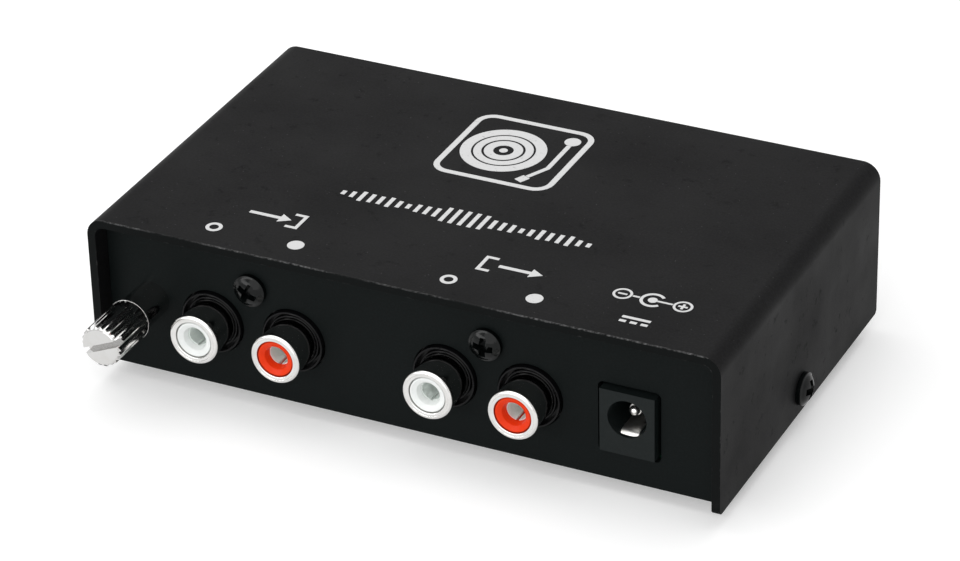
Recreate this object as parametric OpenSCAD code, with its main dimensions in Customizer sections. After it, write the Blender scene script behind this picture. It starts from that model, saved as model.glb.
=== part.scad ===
// Small phono preamplifier box: a folded steel cover over a folded steel tray, two pairs
// of phono sockets, a power socket, a ground terminal with a thumbscrew, and the circuit
// board that carries them. Millimetres, +Z up. The socket panel faces -Y and the whole
// object's bounding box is centred over the origin, on the surface that the feet stand on.

/* [Cover] */
// Width of the cover, side wall to side wall
case_w = 107; // [104:1:140]
// Depth of the cover, front edge to back edge
case_d = 65; // [60:1:90]
// Height of the cover, without the feet
case_h = 27.2; // [26.6:0.1:40]
// Thickness of the cover's sheet steel
cover_t = 1.4; // [1:0.1:1.8]
// Outside radius of the cover's two top bends
cover_bend = 3; // [2.4:0.1:5]
// Radius on the corners of the cover's side walls
cover_corner = 0.9; // [0.3:0.1:1.5]
// Gap between the cover and the tray inside it
cover_gap = 0.15; // [0.1:0.05:0.3]

/* [Tray] */
// Thickness of the tray's sheet steel
tray_t = 1.2; // [0.8:0.1:1.4]
// Outside radius of the tray's bends
tray_bend = 1.6; // [1.5:0.1:2.2]
// How far each end panel stands behind the cover's edge
panel_recess = 3.2; // [2.2:0.1:5]
// Height of the side flanges that take the cover screws
flange_h = 8; // [7.4:0.2:12]
// Length of the side flanges
flange_l = 36; // [16:1:44]
// Width of the notches that free the ends of each flange
flange_notch = 2; // [1:0.1:3]

/* [Feet] */
// Height of a rubber foot
foot_h = 2.8; // [2:0.1:6]
// Radius of a foot where it stands
foot_r = 4.2; // [3:0.1:5]
// How much wider a foot is where it is stuck on
foot_flare = 0.5; // [0:0.1:0.8]
// Distance from the cover's side to a foot's centre
foot_in_x = 10; // [8:0.5:16]
// Distance from the cover's edge to a foot's centre
foot_in_y = 13; // [10.5:0.5:18]

/* [Signal sockets] */
// Distance from the cover's left side to the middle of the input pair
input_in = 27; // [26:0.5:29]
// Distance from the cover's right side to the middle of the output pair
output_in = 39.6; // [37:0.5:42]
// Distance between the two sockets of a pair
socket_pitch = 14.3; // [13.6:0.1:15]
// Height of the socket axes above the circuit board
socket_axis_h = 6.05; // [5.8:0.05:7]
// Radius of a socket's plated barrel
barrel_r = 4; // [3.9:0.05:4.1]
// Radius of the rolled lip at the barrel's mouth
lip_r = 4.2; // [4.12:0.02:4.3]
// Length of the rolled lip
lip_l = 1.1; // [0.8:0.1:2]
// Rounding of the lip's two edges
lip_round = 0.35; // [0.2:0.05:0.4]
// How far the barrel reaches in front of the panel
barrel_out = 6.5; // [5:0.1:9]
// How far the barrel is sunk into its plastic body
barrel_sunk = 4; // [3:0.1:5]
// Radius of the insulator that fills the barrel
insulator_r = 3.05; // [2.9:0.05:3.2]
// Gap around the insulator and around the barrel in its body
socket_gap = 0.05; // [0.03:0.01:0.08]
// Radius of the plug hole in the centre contact
contact_bore = 1.65; // [1.62:0.01:1.75]
// Wall of the centre contact
contact_t = 0.4; // [0.3:0.05:0.5]
// Length of the centre contact, mouth to closed back
contact_l = 7; // [5.6:0.1:7.2]
// Length of the part of its plug hole that grips the plug
contact_grip = 4.5; // [3:0.1:4.6]
// How much wider the plug hole is behind that
contact_relief = 0.2; // [0.12:0.02:0.22]
// Depth of the insulator's funnel
funnel_l = 1.1; // [0.8:0.1:1.6]
// Radius of the funnel's mouth
funnel_r = 2.7; // [2.3:0.05:2.8]
// Radius of the plastic collar around a barrel
collar_r = 5.2; // [5:0.05:5.6]
// Thickness of the collar's lip
collar_lip = 0.55; // [0.4:0.05:0.7]
// How far the collar reaches in front of the panel
collar_out = 0.7; // [0.3:0.1:1.5]
// Depth of the groove between the collar and the barrel
groove_l = 1.3; // [0.6:0.1:1.8]
// Gap around the collar in the panel
collar_gap = 0.25; // [0.15:0.05:0.4]
// Width of the plastic body beyond each socket axis
socket_side = 6.2; // [5.9:0.1:6.4]
// Depth of the plastic body behind the panel
socket_depth = 9; // [7.5:0.1:11]
// Height of the screw boss's centre above the socket axes
socket_screw_up = 7.45; // [7:0.05:8]
// Side of the square screw boss
boss_w = 6; // [5:0.1:7]

/* [Power socket] */
// Distance from the cover's right side to the power socket's axis
power_in = 16.05; // [14:0.5:17]
// Width of the power socket
power_w = 9; // [8.8:0.1:9.6]
// Height of the power socket above the board
power_h = 10.9; // [10.5:0.1:11.5]
// Depth of the power socket, front face to back face
power_d = 14.4; // [13:0.1:16]
// Height of the power socket's axis above the board
power_axis_h = 6.4; // [6.2:0.1:6.6]
// How far the power socket reaches in front of the panel
power_out = 1; // [0.4:0.1:2]
// Radius of the power socket's plug hole
power_bore = 3.2; // [3:0.05:3.3]
// Depth of the power socket's plug hole
power_bore_l = 10; // [9:0.1:10.5]
// Radius of the power socket's centre pin
power_pin_r = 1; // [0.9:0.05:1.2]
// How far the pin's tip stands behind the front face
power_pin_back = 2.2; // [1:0.1:3]
// How much thicker the pin is where its body holds it
power_pin_step = 0.2; // [0.1:0.05:0.4]
// Gap around the power socket in the panel
power_gap = 0.65; // [0.3:0.05:1]
// Corner radius of the cut-out around the power socket
power_corner = 0.9; // [0.4:0.1:1.5]
// Width of the power socket's side contact
spring_w = 3; // [2:0.1:3.4]
// Thickness of the power socket's side contact
spring_t = 0.35; // [0.25:0.05:0.45]

/* [Ground terminal] */
// Distance from the cover's left side to the ground terminal's axis
ground_in = 9.1; // [8.6:0.1:9.4]
// Height of the ground terminal's axis above the tray's underside
ground_h = 13; // [12.6:0.1:16]
// Radius of the terminal's fixed post
post_r = 3; // [2.6:0.1:3.2]
// Length of the fixed post in front of the panel
post_l = 6.6; // [4:0.1:9]
// Radius of the post's threaded spigot behind the panel
spigot_r = 2.4; // [2:0.05:2.5]
// Length of the spigot behind the panel's front face
spigot_l = 6; // [5:0.1:8]
// Radius of the thumbscrew's knurled head
thumb_r = 3.45; // [3.2:0.05:4]
// Length of the thumbscrew's head
thumb_l = 9.3; // [6:0.1:12]
// Number of grooves in the knurl
knurl_count = 24; // [16:1:30]
// Side of the square cutter that leaves each groove
knurl_cut = 0.5; // [0.3:0.05:0.6]
// Chamfer on the thumbscrew's front edge
thumb_chamfer = 0.5; // [0.2:0.05:0.8]
// Width of the screwdriver slot
slot_w = 0.95; // [0.6:0.05:1.2]
// Depth of the screwdriver slot
slot_l = 1.1; // [0.6:0.1:2]
// Angle of the slot above +X at rest
slot_angle = 23.5; // [0:0.5:179]
// Radius of the thumbscrew's threaded shank
shank_r = 1.45; // [1.2:0.05:1.5]
// Length of the thumbscrew's shank
shank_l = 10; // [8:0.1:11]
// Running gap around the shank in the post
shank_gap = 0.05; // [0.03:0.01:0.1]
// Thickness of the washer under the thumbscrew's head
washer_t = 0.4; // [0.3:0.05:0.8]
// Clearance on each side of the washer
washer_gap = 0.05; // [0.03:0.01:0.1]
// Half the width across the flats of the nut behind the panel
nut_half = 3.5; // [3.2:0.1:4]
// Thickness of the nut
nut_l = 2.2; // [1.6:0.1:3]
// Thickness of the ground lug
lug_t = 0.5; // [0.3:0.05:0.8]
// Width of the ground lug's tail
lug_w = 4; // [3:0.1:5]
// Radius of the lug's ring
lug_r = 4.3; // [3.9:0.1:4.6]
// Length of the lug's foot on the board
lug_foot_l = 4; // [3:0.1:6]

/* [Screws] */
// Head radius of a black pan-head screw
screw_head_r = 2.7; // [2.4:0.05:3]
// Head height of a pan-head screw
screw_head_h = 1.8; // [1.4:0.1:2.2]
// Height of the dome within the screw head
screw_dome = 0.9; // [0.4:0.1:1.2]
// Thread radius of a pan-head screw
screw_r = 1.45; // [1.3:0.05:1.5]
// Length of a screw under its head
screw_l = 5; // [4.4:0.1:6]
// Clearance around a screw where it passes through sheet metal
screw_clear = 0.2; // [0.1:0.05:0.3]
// Gap around a screw in the hole that holds it
thread_gap = 0.05; // [0.03:0.01:0.08]
// Width of an arm of the cross recess
cross_w = 0.62; // [0.4:0.02:0.8]
// Length across the cross recess
cross_l = 3; // [2:0.1:3.4]
// Depth of the cross recess
cross_d = 1.1; // [0.6:0.1:1.3]
// Height of the side screws above the tray's underside
side_screw_h = 4.1; // [3.9:0.1:4.4]

/* [Circuit board] */
// Thickness of the circuit board
board_t = 1.6; // [1:0.1:1.6]
// Height of the posts under the board
stand_h = 2.5; // [2.4:0.1:4]
// Radius of a board post
stand_r = 2.5; // [2.2:0.1:3]
// Gap between the board and the tray's walls
board_gap = 0.8; // [0.5:0.1:1.4]
// Clearance around each cover screw's end in the board's edge
notch_gap = 0.8; // [0.5:0.1:1.5]
// Distance from the board's sides to its screws
board_in_x = 5; // [4.5:0.1:6]
// Distance from the board's back edge to its back screws
board_in_back = 5; // [4.5:0.1:8]
// Distance from the board's front edge to its front screws
board_in_front = 16; // [15.6:0.1:17]
// Radius of the leads that pass through the board
lead_r = 0.45; // [0.3:0.05:0.6]
// Gap around a lead in the board
lead_gap = 0.15; // [0.05:0.05:0.25]
// How far leads stand out under the board
lead_under = 1.2; // [0.8:0.1:1.6]
// Radius of a supply capacitor
supply_cap_r = 5; // [4:0.1:5.5]
// Height of a supply capacitor
supply_cap_h = 16; // [11:0.5:18]
// Radius of a coupling capacitor
couple_cap_r = 3.15; // [2.5:0.05:3.5]
// Height of a coupling capacitor
couple_cap_h = 11; // [7:0.5:14]
// Length, width and height of a film capacitor
film_size = [7.2, 4.5, 9]; // [4:0.1:10]
// Length, width and height of a chip's body
chip_size = [4.9, 3.9, 1.5]; // [1:0.1:6]
// Length, width and height of a surface-mounted resistor
resistor_size = [3.2, 1.6, 0.6]; // [0.4:0.1:4]
// Length, width and height of a ceramic capacitor
ceramic_size = [3.2, 2.5, 1.6]; // [0.8:0.1:4]
// Length, width and height of the input diode
diode_size = [5, 2.6, 2.2]; // [1:0.1:6]
// Distance from the board's back edge to the middle of its back row of capacitors
back_row_in = 8; // [7:0.5:9]
// Clearance between neighbouring parts on the board
part_gap = 1; // [0.6:0.1:1.5]

/* [Hidden] */
$fn = 64;
// how far a cutter runs past the face it opens
cut = 0.5;

// The thumbscrew reaches furthest forward and the cover furthest back; their middle is y = 0
ground_reach = post_l + washer_t + 2 * washer_gap + thumb_l;
case_y = (ground_reach - panel_recess) / 2;
cover_front = case_y - case_d / 2;
cover_back = case_y + case_d / 2;
panel_y = cover_front + panel_recess;
panel_in = panel_y + tray_t;
rear_y = cover_back - panel_recess;
rear_in = rear_y - tray_t;

// heights
base_z = foot_h;
floor_z = base_z + tray_t;
cover_top = base_z + case_h;
tray_top = cover_top - cover_t - cover_gap;
board_z = floor_z + stand_h;
board_top = board_z + board_t;
axis_z = board_top + socket_axis_h;
socket_screw_z = axis_z + socket_screw_up;
power_z = board_top + power_axis_h;
ground_z = base_z + ground_h;
side_screw_z = base_z + side_screw_h;

// widths
tray_w = case_w - 2 * (cover_t + cover_gap);
board_w = tray_w - 2 * (tray_t + board_gap);
board_front = panel_in + board_gap;
board_back = rear_in - board_gap;
input_x = input_in - case_w / 2;
output_x = case_w / 2 - output_in;
power_x = case_w / 2 - power_in;
ground_x = ground_in - case_w / 2;

// signal sockets
panel_hole_r = collar_r + collar_gap;
socket_w = socket_pitch + 2 * socket_side;
body_over_axis = 5.6;
barrel_bore = insulator_r + socket_gap;
barrel_back = panel_in + barrel_sunk;
barrel_mouth = panel_y - barrel_out;
insulator_set_back = 0.25;
insulator_mouth = barrel_mouth + insulator_set_back;
contact_set_back = 0.5;
contact_mouth = insulator_mouth + funnel_l + contact_set_back;
contact_r = contact_bore + contact_t;
contact_gap = 0.05;
tail_r = 0.6;
tail_behind = 1;
tail_y = panel_in + socket_depth + tail_behind;
leg_w = 1.6;
leg_t = 0.8;
leg_in = 2;
leg_y = panel_in + leg_in;

// power socket
power_front = panel_y - power_out;
power_flange_l = 3.6;
power_step = 0.5;
spring_start = 0.8;
spring_end = power_bore_l - spring_start;
spring_rise = 0.5;
spring_clear = 0.2;
pin_tail_in = 1.8;
pin_tail_y = power_front + power_d - pin_tail_in;
pin_seat_r = power_pin_r + power_pin_step;
spring_leg_y = power_front + spring_end - spring_t;
power_leg_w = 2;

// ground terminal: y of the faces, from the panel forward
post_front = panel_y - post_l;
washer_back = post_front - washer_gap;
washer_front = washer_back - washer_t;
thumb_back = washer_front - washer_gap;
washer_over = 0.3;
washer_r = post_r + washer_over;
rear_chamfer = 0.3;

// places on the board: a back row of capacitors between its two screws, and a row of chips
board_screw_places = [for (sx = [-1, 1], y = [board_front + board_in_front, board_back - board_in_back])
    [sx * (board_w / 2 - board_in_x), y]];
film_count = 4;
supply_count = 3;
back_row_y = board_back - back_row_in;
back_row_l = board_w - 2 * (board_in_x + screw_head_r + part_gap);
back_row_gap = (back_row_l - film_count * film_size[0] - supply_count * 2 * supply_cap_r)
    / (film_count + supply_count - 1);
film_places = [for (i = [0:film_count - 1])
    [film_size[0] / 2 + i * (film_size[0] + back_row_gap) - back_row_l / 2, back_row_y]];
supply_places = [for (i = [0:supply_count - 1])
    [back_row_l / 2 - supply_cap_r - i * (2 * supply_cap_r + back_row_gap), back_row_y]];
chip_reach = 1;
resistor_row = chip_size[1] / 2 + chip_reach + part_gap + resistor_size[0] / 2;
resistor_pitch = resistor_size[1] + part_gap;
chip_row_y = back_row_y - supply_cap_r - part_gap - resistor_size[0] / 2 - resistor_row;
left_chip_x = input_x;
right_chip_x = output_x;
couple_from_chip = chip_size[0] / 2 + part_gap + couple_cap_r;
couple_places = [for (x = [left_chip_x, right_chip_x], s = [-1, 1]) [x + s * couple_from_chip, chip_row_y]];
resistor_places = [for (x = [left_chip_x, right_chip_x], i = [-2:2], s = [-1, 1])
    [x + i * resistor_pitch, chip_row_y + s * resistor_row]];
ceramic_y = chip_row_y - resistor_row - resistor_size[0] / 2 - part_gap - ceramic_size[0] / 2;
ceramic_places = [for (x = [left_chip_x, right_chip_x], s = [-1, 1])
    [x + s * (ceramic_size[1] + part_gap) / 2, ceramic_y]];
regulator_size = [6.5, 6.1, 2.2];
regulator_x = power_x;
regulator_y = chip_row_y;
diode_x = regulator_x - regulator_size[0] / 2 - part_gap - diode_size[1] / 2;
diode_y = chip_row_y;

// ---------------------------------------------------------------- shared shapes

// a cylinder that starts at y = 0 and runs forward, towards -Y
module rod_out(r, l) {
    rotate([90, 0, 0]) cylinder(h = l, r = r);
}

// a cylinder that starts at y = 0 and runs back, towards +Y
module rod_in(r, l) {
    rotate([-90, 0, 0]) cylinder(h = l, r = r);
}

// a turned shape whose profile is [radius, distance forward]
module turned_out(profile) {
    rotate([90, 0, 0]) rotate_extrude() polygon(profile);
}

// a block whose two top edges, along Y, are rounded
module arched_block(w, y0, y1, z0, z1, r) {
    translate([-w / 2, y0, z0]) cube([w, y1 - y0, z1 - z0 - r]);
    translate([-w / 2 + r, y0, z0]) cube([w - 2 * r, y1 - y0, z1 - z0]);
    for (s = [-1, 1])
        translate([s * (w / 2 - r), y0, z1 - r]) rod_in(r, y1 - y0);
}

// a block whose two bottom edges, along X, are rounded
module pan_block(w, y0, y1, z0, z1, r) {
    translate([-w / 2, y0, z0 + r]) cube([w, y1 - y0, z1 - z0 - r]);
    translate([-w / 2, y0 + r, z0]) cube([w, y1 - y0 - 2 * r, z1 - z0]);
    for (y = [y0 + r, y1 - r])
        translate([-w / 2, y, z0 + r]) rotate([0, 90, 0]) cylinder(h = w, r = r);
}

// a rectangular hole with round corners through a sheet, centred on x = 0 and z = 0
module round_slot(w, h, r, l) {
    translate([-w / 2 + r, 0, -h / 2]) cube([w - 2 * r, l, h]);
    translate([-w / 2, 0, -h / 2 + r]) cube([w, l, h - 2 * r]);
    for (sx = [-1, 1], sz = [-1, 1])
        translate([sx * (w / 2 - r), 0, sz * (h / 2 - r)]) rod_in(r, l);
}

// a pan-head screw: the head stands on z = 0 and the shank runs down
module pan_screw(length, thread) {
    ball = (screw_head_r * screw_head_r + screw_dome * screw_dome) / (2 * screw_dome);
    color([0.09, 0.09, 0.1]) difference() {
        union() {
            intersection() {
                cylinder(h = screw_head_h, r = screw_head_r);
                translate([0, 0, screw_head_h - ball]) sphere(r = ball);
            }
            translate([0, 0, -length]) cylinder(h = length + cut, r = thread);
        }
        for (a = [0, 90]) rotate([0, 0, a])
            translate([-cross_l / 2, -cross_w / 2, screw_head_h - cross_d])
                cube([cross_l, cross_w, cross_d + cut]);
    }
}

// ---------------------------------------------------------------- sheet metal

module top_cover() {
    side_hole_r = screw_r + screw_clear;
    color([0.13, 0.13, 0.135]) difference() {
        arched_block(case_w, cover_front, cover_back, base_z, cover_top, cover_bend);
        arched_block(case_w - 2 * cover_t, cover_front - cut, cover_back + cut, base_z - cut,
            cover_top - cover_t, cover_bend - cover_t);
        translate([-case_w / 2 - cut, case_y, side_screw_z]) rotate([0, 90, 0])
            cylinder(h = case_w + 2 * cut, r = side_hole_r);
        for (sy = [-1, 1]) translate([0, sy > 0 ? cover_back : cover_front, base_z])
            lower_corner(case_w + 2 * cut, cover_corner, sy);
    }
}

// what a rounding of radius r takes off a lower corner that points along sy
module lower_corner(w, r, sy) {
    difference() {
        translate([-w / 2, sy > 0 ? -r : -cut, -cut]) cube([w, r + cut, r + cut]);
        translate([-w / 2 - cut, -sy * r, r]) rotate([0, 90, 0]) cylinder(h = w + 2 * cut, r = r);
    }
}

module tray() {
    inner_bend = tray_bend - tray_t;
    notch_depth = tray_bend + tray_t;
    tap_r = screw_r + thread_gap;
    color([0.12, 0.125, 0.13]) difference() {
        union() {
            intersection() {
                difference() {
                    pan_block(tray_w, panel_y, rear_y, base_z, tray_top + cut, tray_bend);
                    pan_block(tray_w + 2 * cut, panel_in, rear_in, floor_z, tray_top + 2 * cut, inner_bend);
                }
                arched_block(tray_w, panel_y - cut, rear_y + cut, base_z - cut, tray_top,
                    cover_bend - cover_t);
            }
            for (s = [-1, 1]) translate([s * (tray_w / 2 - tray_t / 2), case_y, base_z])
                translate([-tray_t / 2, -flange_l / 2, 0]) cube([tray_t, flange_l, flange_h]);
        }
        // the bend under each flange, and the notches at its two ends
        for (s = [-1, 1]) translate([s * tray_w / 2, case_y, base_z]) {
            translate([0, -flange_l / 2, 0]) flange_edge(flange_l, tray_bend, s);
            for (e = [-1, 1])
                translate([-notch_depth, e * (flange_l + flange_notch) / 2 - flange_notch / 2, -cut])
                    cube([2 * notch_depth, flange_notch, tray_t + 2 * cut]);
        }
        // cover screws
        translate([-case_w / 2, case_y, side_screw_z]) rotate([0, 90, 0]) cylinder(h = case_w, r = tap_r);
        // sockets and their screws
        for (x = [input_x, output_x]) {
            for (s = [-1, 1])
                translate([x + s * socket_pitch / 2, panel_y - cut, axis_z])
                    rod_in(panel_hole_r, tray_t + 2 * cut);
            translate([x, panel_y - cut, socket_screw_z]) rod_in(screw_r + screw_clear, tray_t + 2 * cut);
        }
        // power socket
        translate([power_x, panel_y - cut, board_top + power_h / 2])
            round_slot(power_w + 2 * power_gap, power_h + 2 * power_gap, power_corner, tray_t + 2 * cut);
        // ground terminal
        translate([ground_x, panel_y - cut, ground_z]) rod_in(spigot_r + screw_clear, tray_t + 2 * cut);
    }
}

// what the bend under a side flange takes off the tray's lower edge, along Y
module flange_edge(l, r, s) {
    difference() {
        translate([s > 0 ? -r : -cut, 0, -cut]) cube([r + cut, l, r + cut]);
        translate([-s * r, -cut, r]) rod_in(r, l + 2 * cut);
    }
}

module cover_screw(s) {
    translate([s * case_w / 2, case_y, side_screw_z]) rotate([0, s * 90, 0]) pan_screw(screw_l, screw_r);
}

module cover_screw_left() { cover_screw(-1); }

module cover_screw_right() { cover_screw(1); }

// ---------------------------------------------------------------- feet

module foot(sx, sy) {
    color([0.05, 0.05, 0.05])
        translate([sx * (case_w / 2 - foot_in_x), case_y + sy * (case_d / 2 - foot_in_y), 0])
            cylinder(h = foot_h, r1 = foot_r, r2 = foot_r + foot_flare);
}

module foot_front_left() { foot(-1, -1); }

module foot_front_right() { foot(1, -1); }

module foot_back_left() { foot(-1, 1); }

module foot_back_right() { foot(1, 1); }

// ---------------------------------------------------------------- signal sockets

// the plastic body of a pair: a block on the board, a screw boss and two collars
module socket_body(x) {
    boss_top = socket_screw_z + boss_w / 2;
    color([0.05, 0.05, 0.055]) difference() {
        union() {
            translate([x - socket_w / 2, panel_in, board_top])
                cube([socket_w, socket_depth, socket_axis_h + body_over_axis]);
            translate([x - boss_w / 2, panel_in, board_top])
                cube([boss_w, socket_depth, boss_top - board_top]);
            for (s = [-1, 1]) translate([x + s * socket_pitch / 2, panel_in, axis_z]) collar();
        }
        for (s = [-1, 1]) translate([x + s * socket_pitch / 2, 0, axis_z]) {
            translate([0, panel_y - collar_out - cut, 0]) rod_in(collar_r - collar_lip, groove_l + cut);
            translate([0, panel_y - collar_out - cut, 0])
                rod_in(barrel_r + socket_gap, collar_out + cut + tray_t + barrel_sunk);
            translate([0, barrel_back - cut, 0]) rod_in(tail_r + socket_gap, socket_depth + cut);
            translate([-leg_w / 2 - socket_gap, leg_y - socket_gap, board_top - axis_z - cut])
                cube([leg_w + 2 * socket_gap, leg_t + 2 * socket_gap, socket_axis_h - barrel_r + 2 * cut]);
        }
        translate([x, panel_in - cut, socket_screw_z])
            rod_in(screw_r + thread_gap, screw_l - tray_t + 2 * cut);
    }
}

// a collar from the body's front face to its rounded lip in front of the panel
module collar() {
    l = tray_t + collar_out;
    ease = collar_lip / 2;
    mid = ease * (1 - cos(45));
    turned_out([[0, -cut], [collar_r, -cut], [collar_r, l - ease], [collar_r - mid, l - mid],
        [collar_r - ease, l], [0, l]]);
}

// the plated barrel with its rolled lip and the leg that earths it to the board
module shell(x) {
    l = barrel_out + tray_t + barrel_sunk;
    e = lip_round;
    leg_top = axis_z - (barrel_r + barrel_bore) / 2;
    color([0.78, 0.76, 0.7]) {
        translate([x, barrel_back, axis_z]) rotate([90, 0, 0]) rotate_extrude() {
            translate([barrel_bore, 0]) square([barrel_r - barrel_bore, l - e]);
            translate([barrel_bore, l - lip_l]) square([lip_r - barrel_bore, lip_l - e]);
            translate([barrel_bore + e, l - lip_l]) square([lip_r - barrel_bore - 2 * e, lip_l]);
            for (r = [barrel_bore + e, lip_r - e]) translate([r, l - e]) circle(r = e);
        }
        translate([x - leg_w / 2, leg_y, board_z - lead_under])
            cube([leg_w, leg_t, leg_top - board_z + lead_under]);
    }
}

// the plastic insulator: funnel, plug hole, and the chamber that holds the contact
module insulator(x, shade) {
    l = barrel_back - insulator_mouth;
    chamber_r = contact_r + contact_gap;
    chamber_l = contact_l + contact_gap;
    wall_l = contact_mouth - insulator_mouth;
    edge = 0.15;
    color(shade) translate([x, barrel_back, axis_z]) turned_out([
        [tail_r + socket_gap, 0], [insulator_r, 0], [insulator_r, l - edge], [insulator_r - edge, l],
        [funnel_r, l], [contact_bore + contact_gap, l - funnel_l],
        [contact_bore + contact_gap, l - wall_l], [chamber_r, l - wall_l],
        [chamber_r, l - wall_l - chamber_l], [tail_r + socket_gap, l - wall_l - chamber_l]
    ]);
}

// the centre contact: a split tube, its closed back, and the tail down to the board
module contact(x) {
    back_t = 0.6;
    split = 0.5;
    color([0.7, 0.68, 0.62]) difference() {
        union() {
            translate([x, contact_mouth, axis_z]) rod_in(contact_r, contact_l);
            translate([x, contact_mouth + contact_l - back_t, axis_z])
                rod_in(tail_r, tail_y - contact_mouth - contact_l + back_t);
            translate([x, tail_y, board_z - lead_under])
                cylinder(h = axis_z - board_z + lead_under, r = tail_r);
            translate([x, tail_y, axis_z]) sphere(r = tail_r);
        }
        translate([x, contact_mouth - cut, axis_z]) rod_in(contact_bore, contact_grip + 2 * cut);
        translate([x, contact_mouth + contact_grip, axis_z])
            rod_in(contact_bore + contact_relief, contact_l - back_t - contact_grip);
        translate([x - split / 2, contact_mouth - cut, axis_z - contact_r - cut])
            cube([split, contact_l - 2 * back_t + cut, contact_r]);
    }
}

module socket_screw(x) {
    translate([x, panel_y, socket_screw_z]) rotate([90, 0, 0]) pan_screw(screw_l, screw_r);
}

input_left_x = input_x - socket_pitch / 2;
input_right_x = input_x + socket_pitch / 2;
output_left_x = output_x - socket_pitch / 2;
output_right_x = output_x + socket_pitch / 2;
left_shade = [0.86, 0.86, 0.83];
right_shade = [0.9, 0.2, 0.1];

module input_socket_body() { socket_body(input_x); }

module output_socket_body() { socket_body(output_x); }

module input_left_shell() { shell(input_left_x); }

module input_right_shell() { shell(input_right_x); }

module output_left_shell() { shell(output_left_x); }

module output_right_shell() { shell(output_right_x); }

module input_left_insulator() { insulator(input_left_x, left_shade); }

module input_right_insulator() { insulator(input_right_x, right_shade); }

module output_left_insulator() { insulator(output_left_x, left_shade); }

module output_right_insulator() { insulator(output_right_x, right_shade); }

module input_left_contact() { contact(input_left_x); }

module input_right_contact() { contact(input_right_x); }

module output_left_contact() { contact(output_left_x); }

module output_right_contact() { contact(output_right_x); }

module input_socket_screw() { socket_screw(input_x); }

module output_socket_screw() { socket_screw(output_x); }

// ---------------------------------------------------------------- power socket

module power_socket_body() {
    back_w = power_w - 2 * power_step;
    back_h = power_h - power_step;
    color([0.06, 0.06, 0.065]) difference() {
        union() {
            translate([power_x - power_w / 2, power_front, board_top])
                cube([power_w, power_flange_l, power_h]);
            translate([power_x - back_w / 2, power_front, board_top]) cube([back_w, power_d, back_h]);
        }
        translate([power_x, power_front - cut, power_z]) rod_in(power_bore, power_bore_l + cut);
        // the pin's seat and the way for its tail
        translate([power_x, power_front, power_z]) rod_in(pin_seat_r + thread_gap, pin_tail_y - power_front);
        translate([power_x, pin_tail_y, board_top - cut])
            cylinder(h = power_axis_h + cut + pin_seat_r, r = pin_seat_r + thread_gap);
        // the groove for the side contact and the way for its leg
        translate([power_x - spring_w / 2 - thread_gap, power_front + spring_start - spring_clear,
                power_z - power_bore - spring_t - thread_gap])
            cube([spring_w + 2 * thread_gap, spring_end - spring_start + 2 * spring_clear, power_bore]);
        translate([power_x - power_leg_w / 2 - thread_gap, spring_leg_y - thread_gap, board_top - cut])
            cube([power_leg_w + 2 * thread_gap, spring_t + 2 * thread_gap, power_axis_h - power_bore + cut]);
    }
}

module power_socket_pin() {
    tip_y = power_front + power_pin_back + power_pin_r;
    color([0.75, 0.72, 0.64]) {
        translate([power_x, tip_y, power_z]) rod_in(power_pin_r, power_front + power_bore_l - tip_y);
        translate([power_x, tip_y, power_z]) sphere(r = power_pin_r);
        translate([power_x, power_front + power_bore_l, power_z])
            rod_in(pin_seat_r, pin_tail_y - power_front - power_bore_l);
        translate([power_x, pin_tail_y, power_z]) sphere(r = pin_seat_r);
        translate([power_x, pin_tail_y, board_top]) cylinder(h = power_axis_h, r = pin_seat_r);
        translate([power_x, pin_tail_y, board_z - lead_under])
            cylinder(h = board_t + lead_under + cut, r = lead_r);
    }
}

module power_socket_spring() {
    low = power_z - power_bore - spring_t;
    high = low + spring_t / 2 + spring_rise;
    start = power_front + spring_start;
    end = power_front + spring_end;
    middle = (start + end) / 2;
    color([0.75, 0.72, 0.64]) {
        translate([power_x - spring_w / 2, 0, 0]) rotate([90, 0, 90]) linear_extrude(height = spring_w)
            polygon([[start, low], [middle, high], [end, low], [end, low + spring_t],
                [middle, high + spring_t], [start, low + spring_t]]);
        translate([power_x - power_leg_w / 2, spring_leg_y, board_z - lead_under])
            cube([power_leg_w, spring_t, low + spring_t - board_z + lead_under]);
    }
}

// ---------------------------------------------------------------- ground terminal

module ground_post() {
    bore = shank_r + shank_gap;
    edge = 0.25;
    color([0.78, 0.77, 0.73]) translate([ground_x, panel_y, ground_z]) turned_out([
        [bore, -spigot_l], [spigot_r, -spigot_l], [spigot_r, 0], [post_r, 0],
        [post_r, post_l - edge], [post_r - edge, post_l], [bore, post_l]
    ]);
}

module ground_nut() {
    across = nut_half / cos(30);
    color([0.75, 0.73, 0.66]) difference() {
        translate([ground_x, panel_in + lug_t, ground_z]) rotate([-90, 0, 0])
            cylinder(h = nut_l, r = across, $fn = 6);
        translate([ground_x, panel_in, ground_z]) rod_in(spigot_r + thread_gap, nut_l + 2 * cut + lug_t);
    }
}

// a ring under the nut whose tail runs down the panel and along the board
module ground_lug() {
    tail_h = ground_z - board_top;
    color([0.78, 0.76, 0.7]) difference() {
        union() {
            translate([ground_x, panel_in, ground_z]) rod_in(lug_r, lug_t);
            translate([ground_x - lug_w / 2, panel_in, board_top]) cube([lug_w, lug_t, tail_h]);
            translate([ground_x - lug_w / 2, panel_in, board_top])
                cube([lug_w, board_gap + lug_foot_l, lug_t]);
        }
        translate([ground_x, panel_in - cut, ground_z]) rod_in(spigot_r + screw_clear, lug_t + 2 * cut);
    }
}

module ground_washer() {
    color([0.82, 0.81, 0.78]) difference() {
        translate([ground_x, washer_back, ground_z]) rod_out(washer_r, washer_t);
        translate([ground_x, washer_back + cut, ground_z]) rod_out(shank_r + shank_gap, washer_t + 2 * cut);
    }
}

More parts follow.
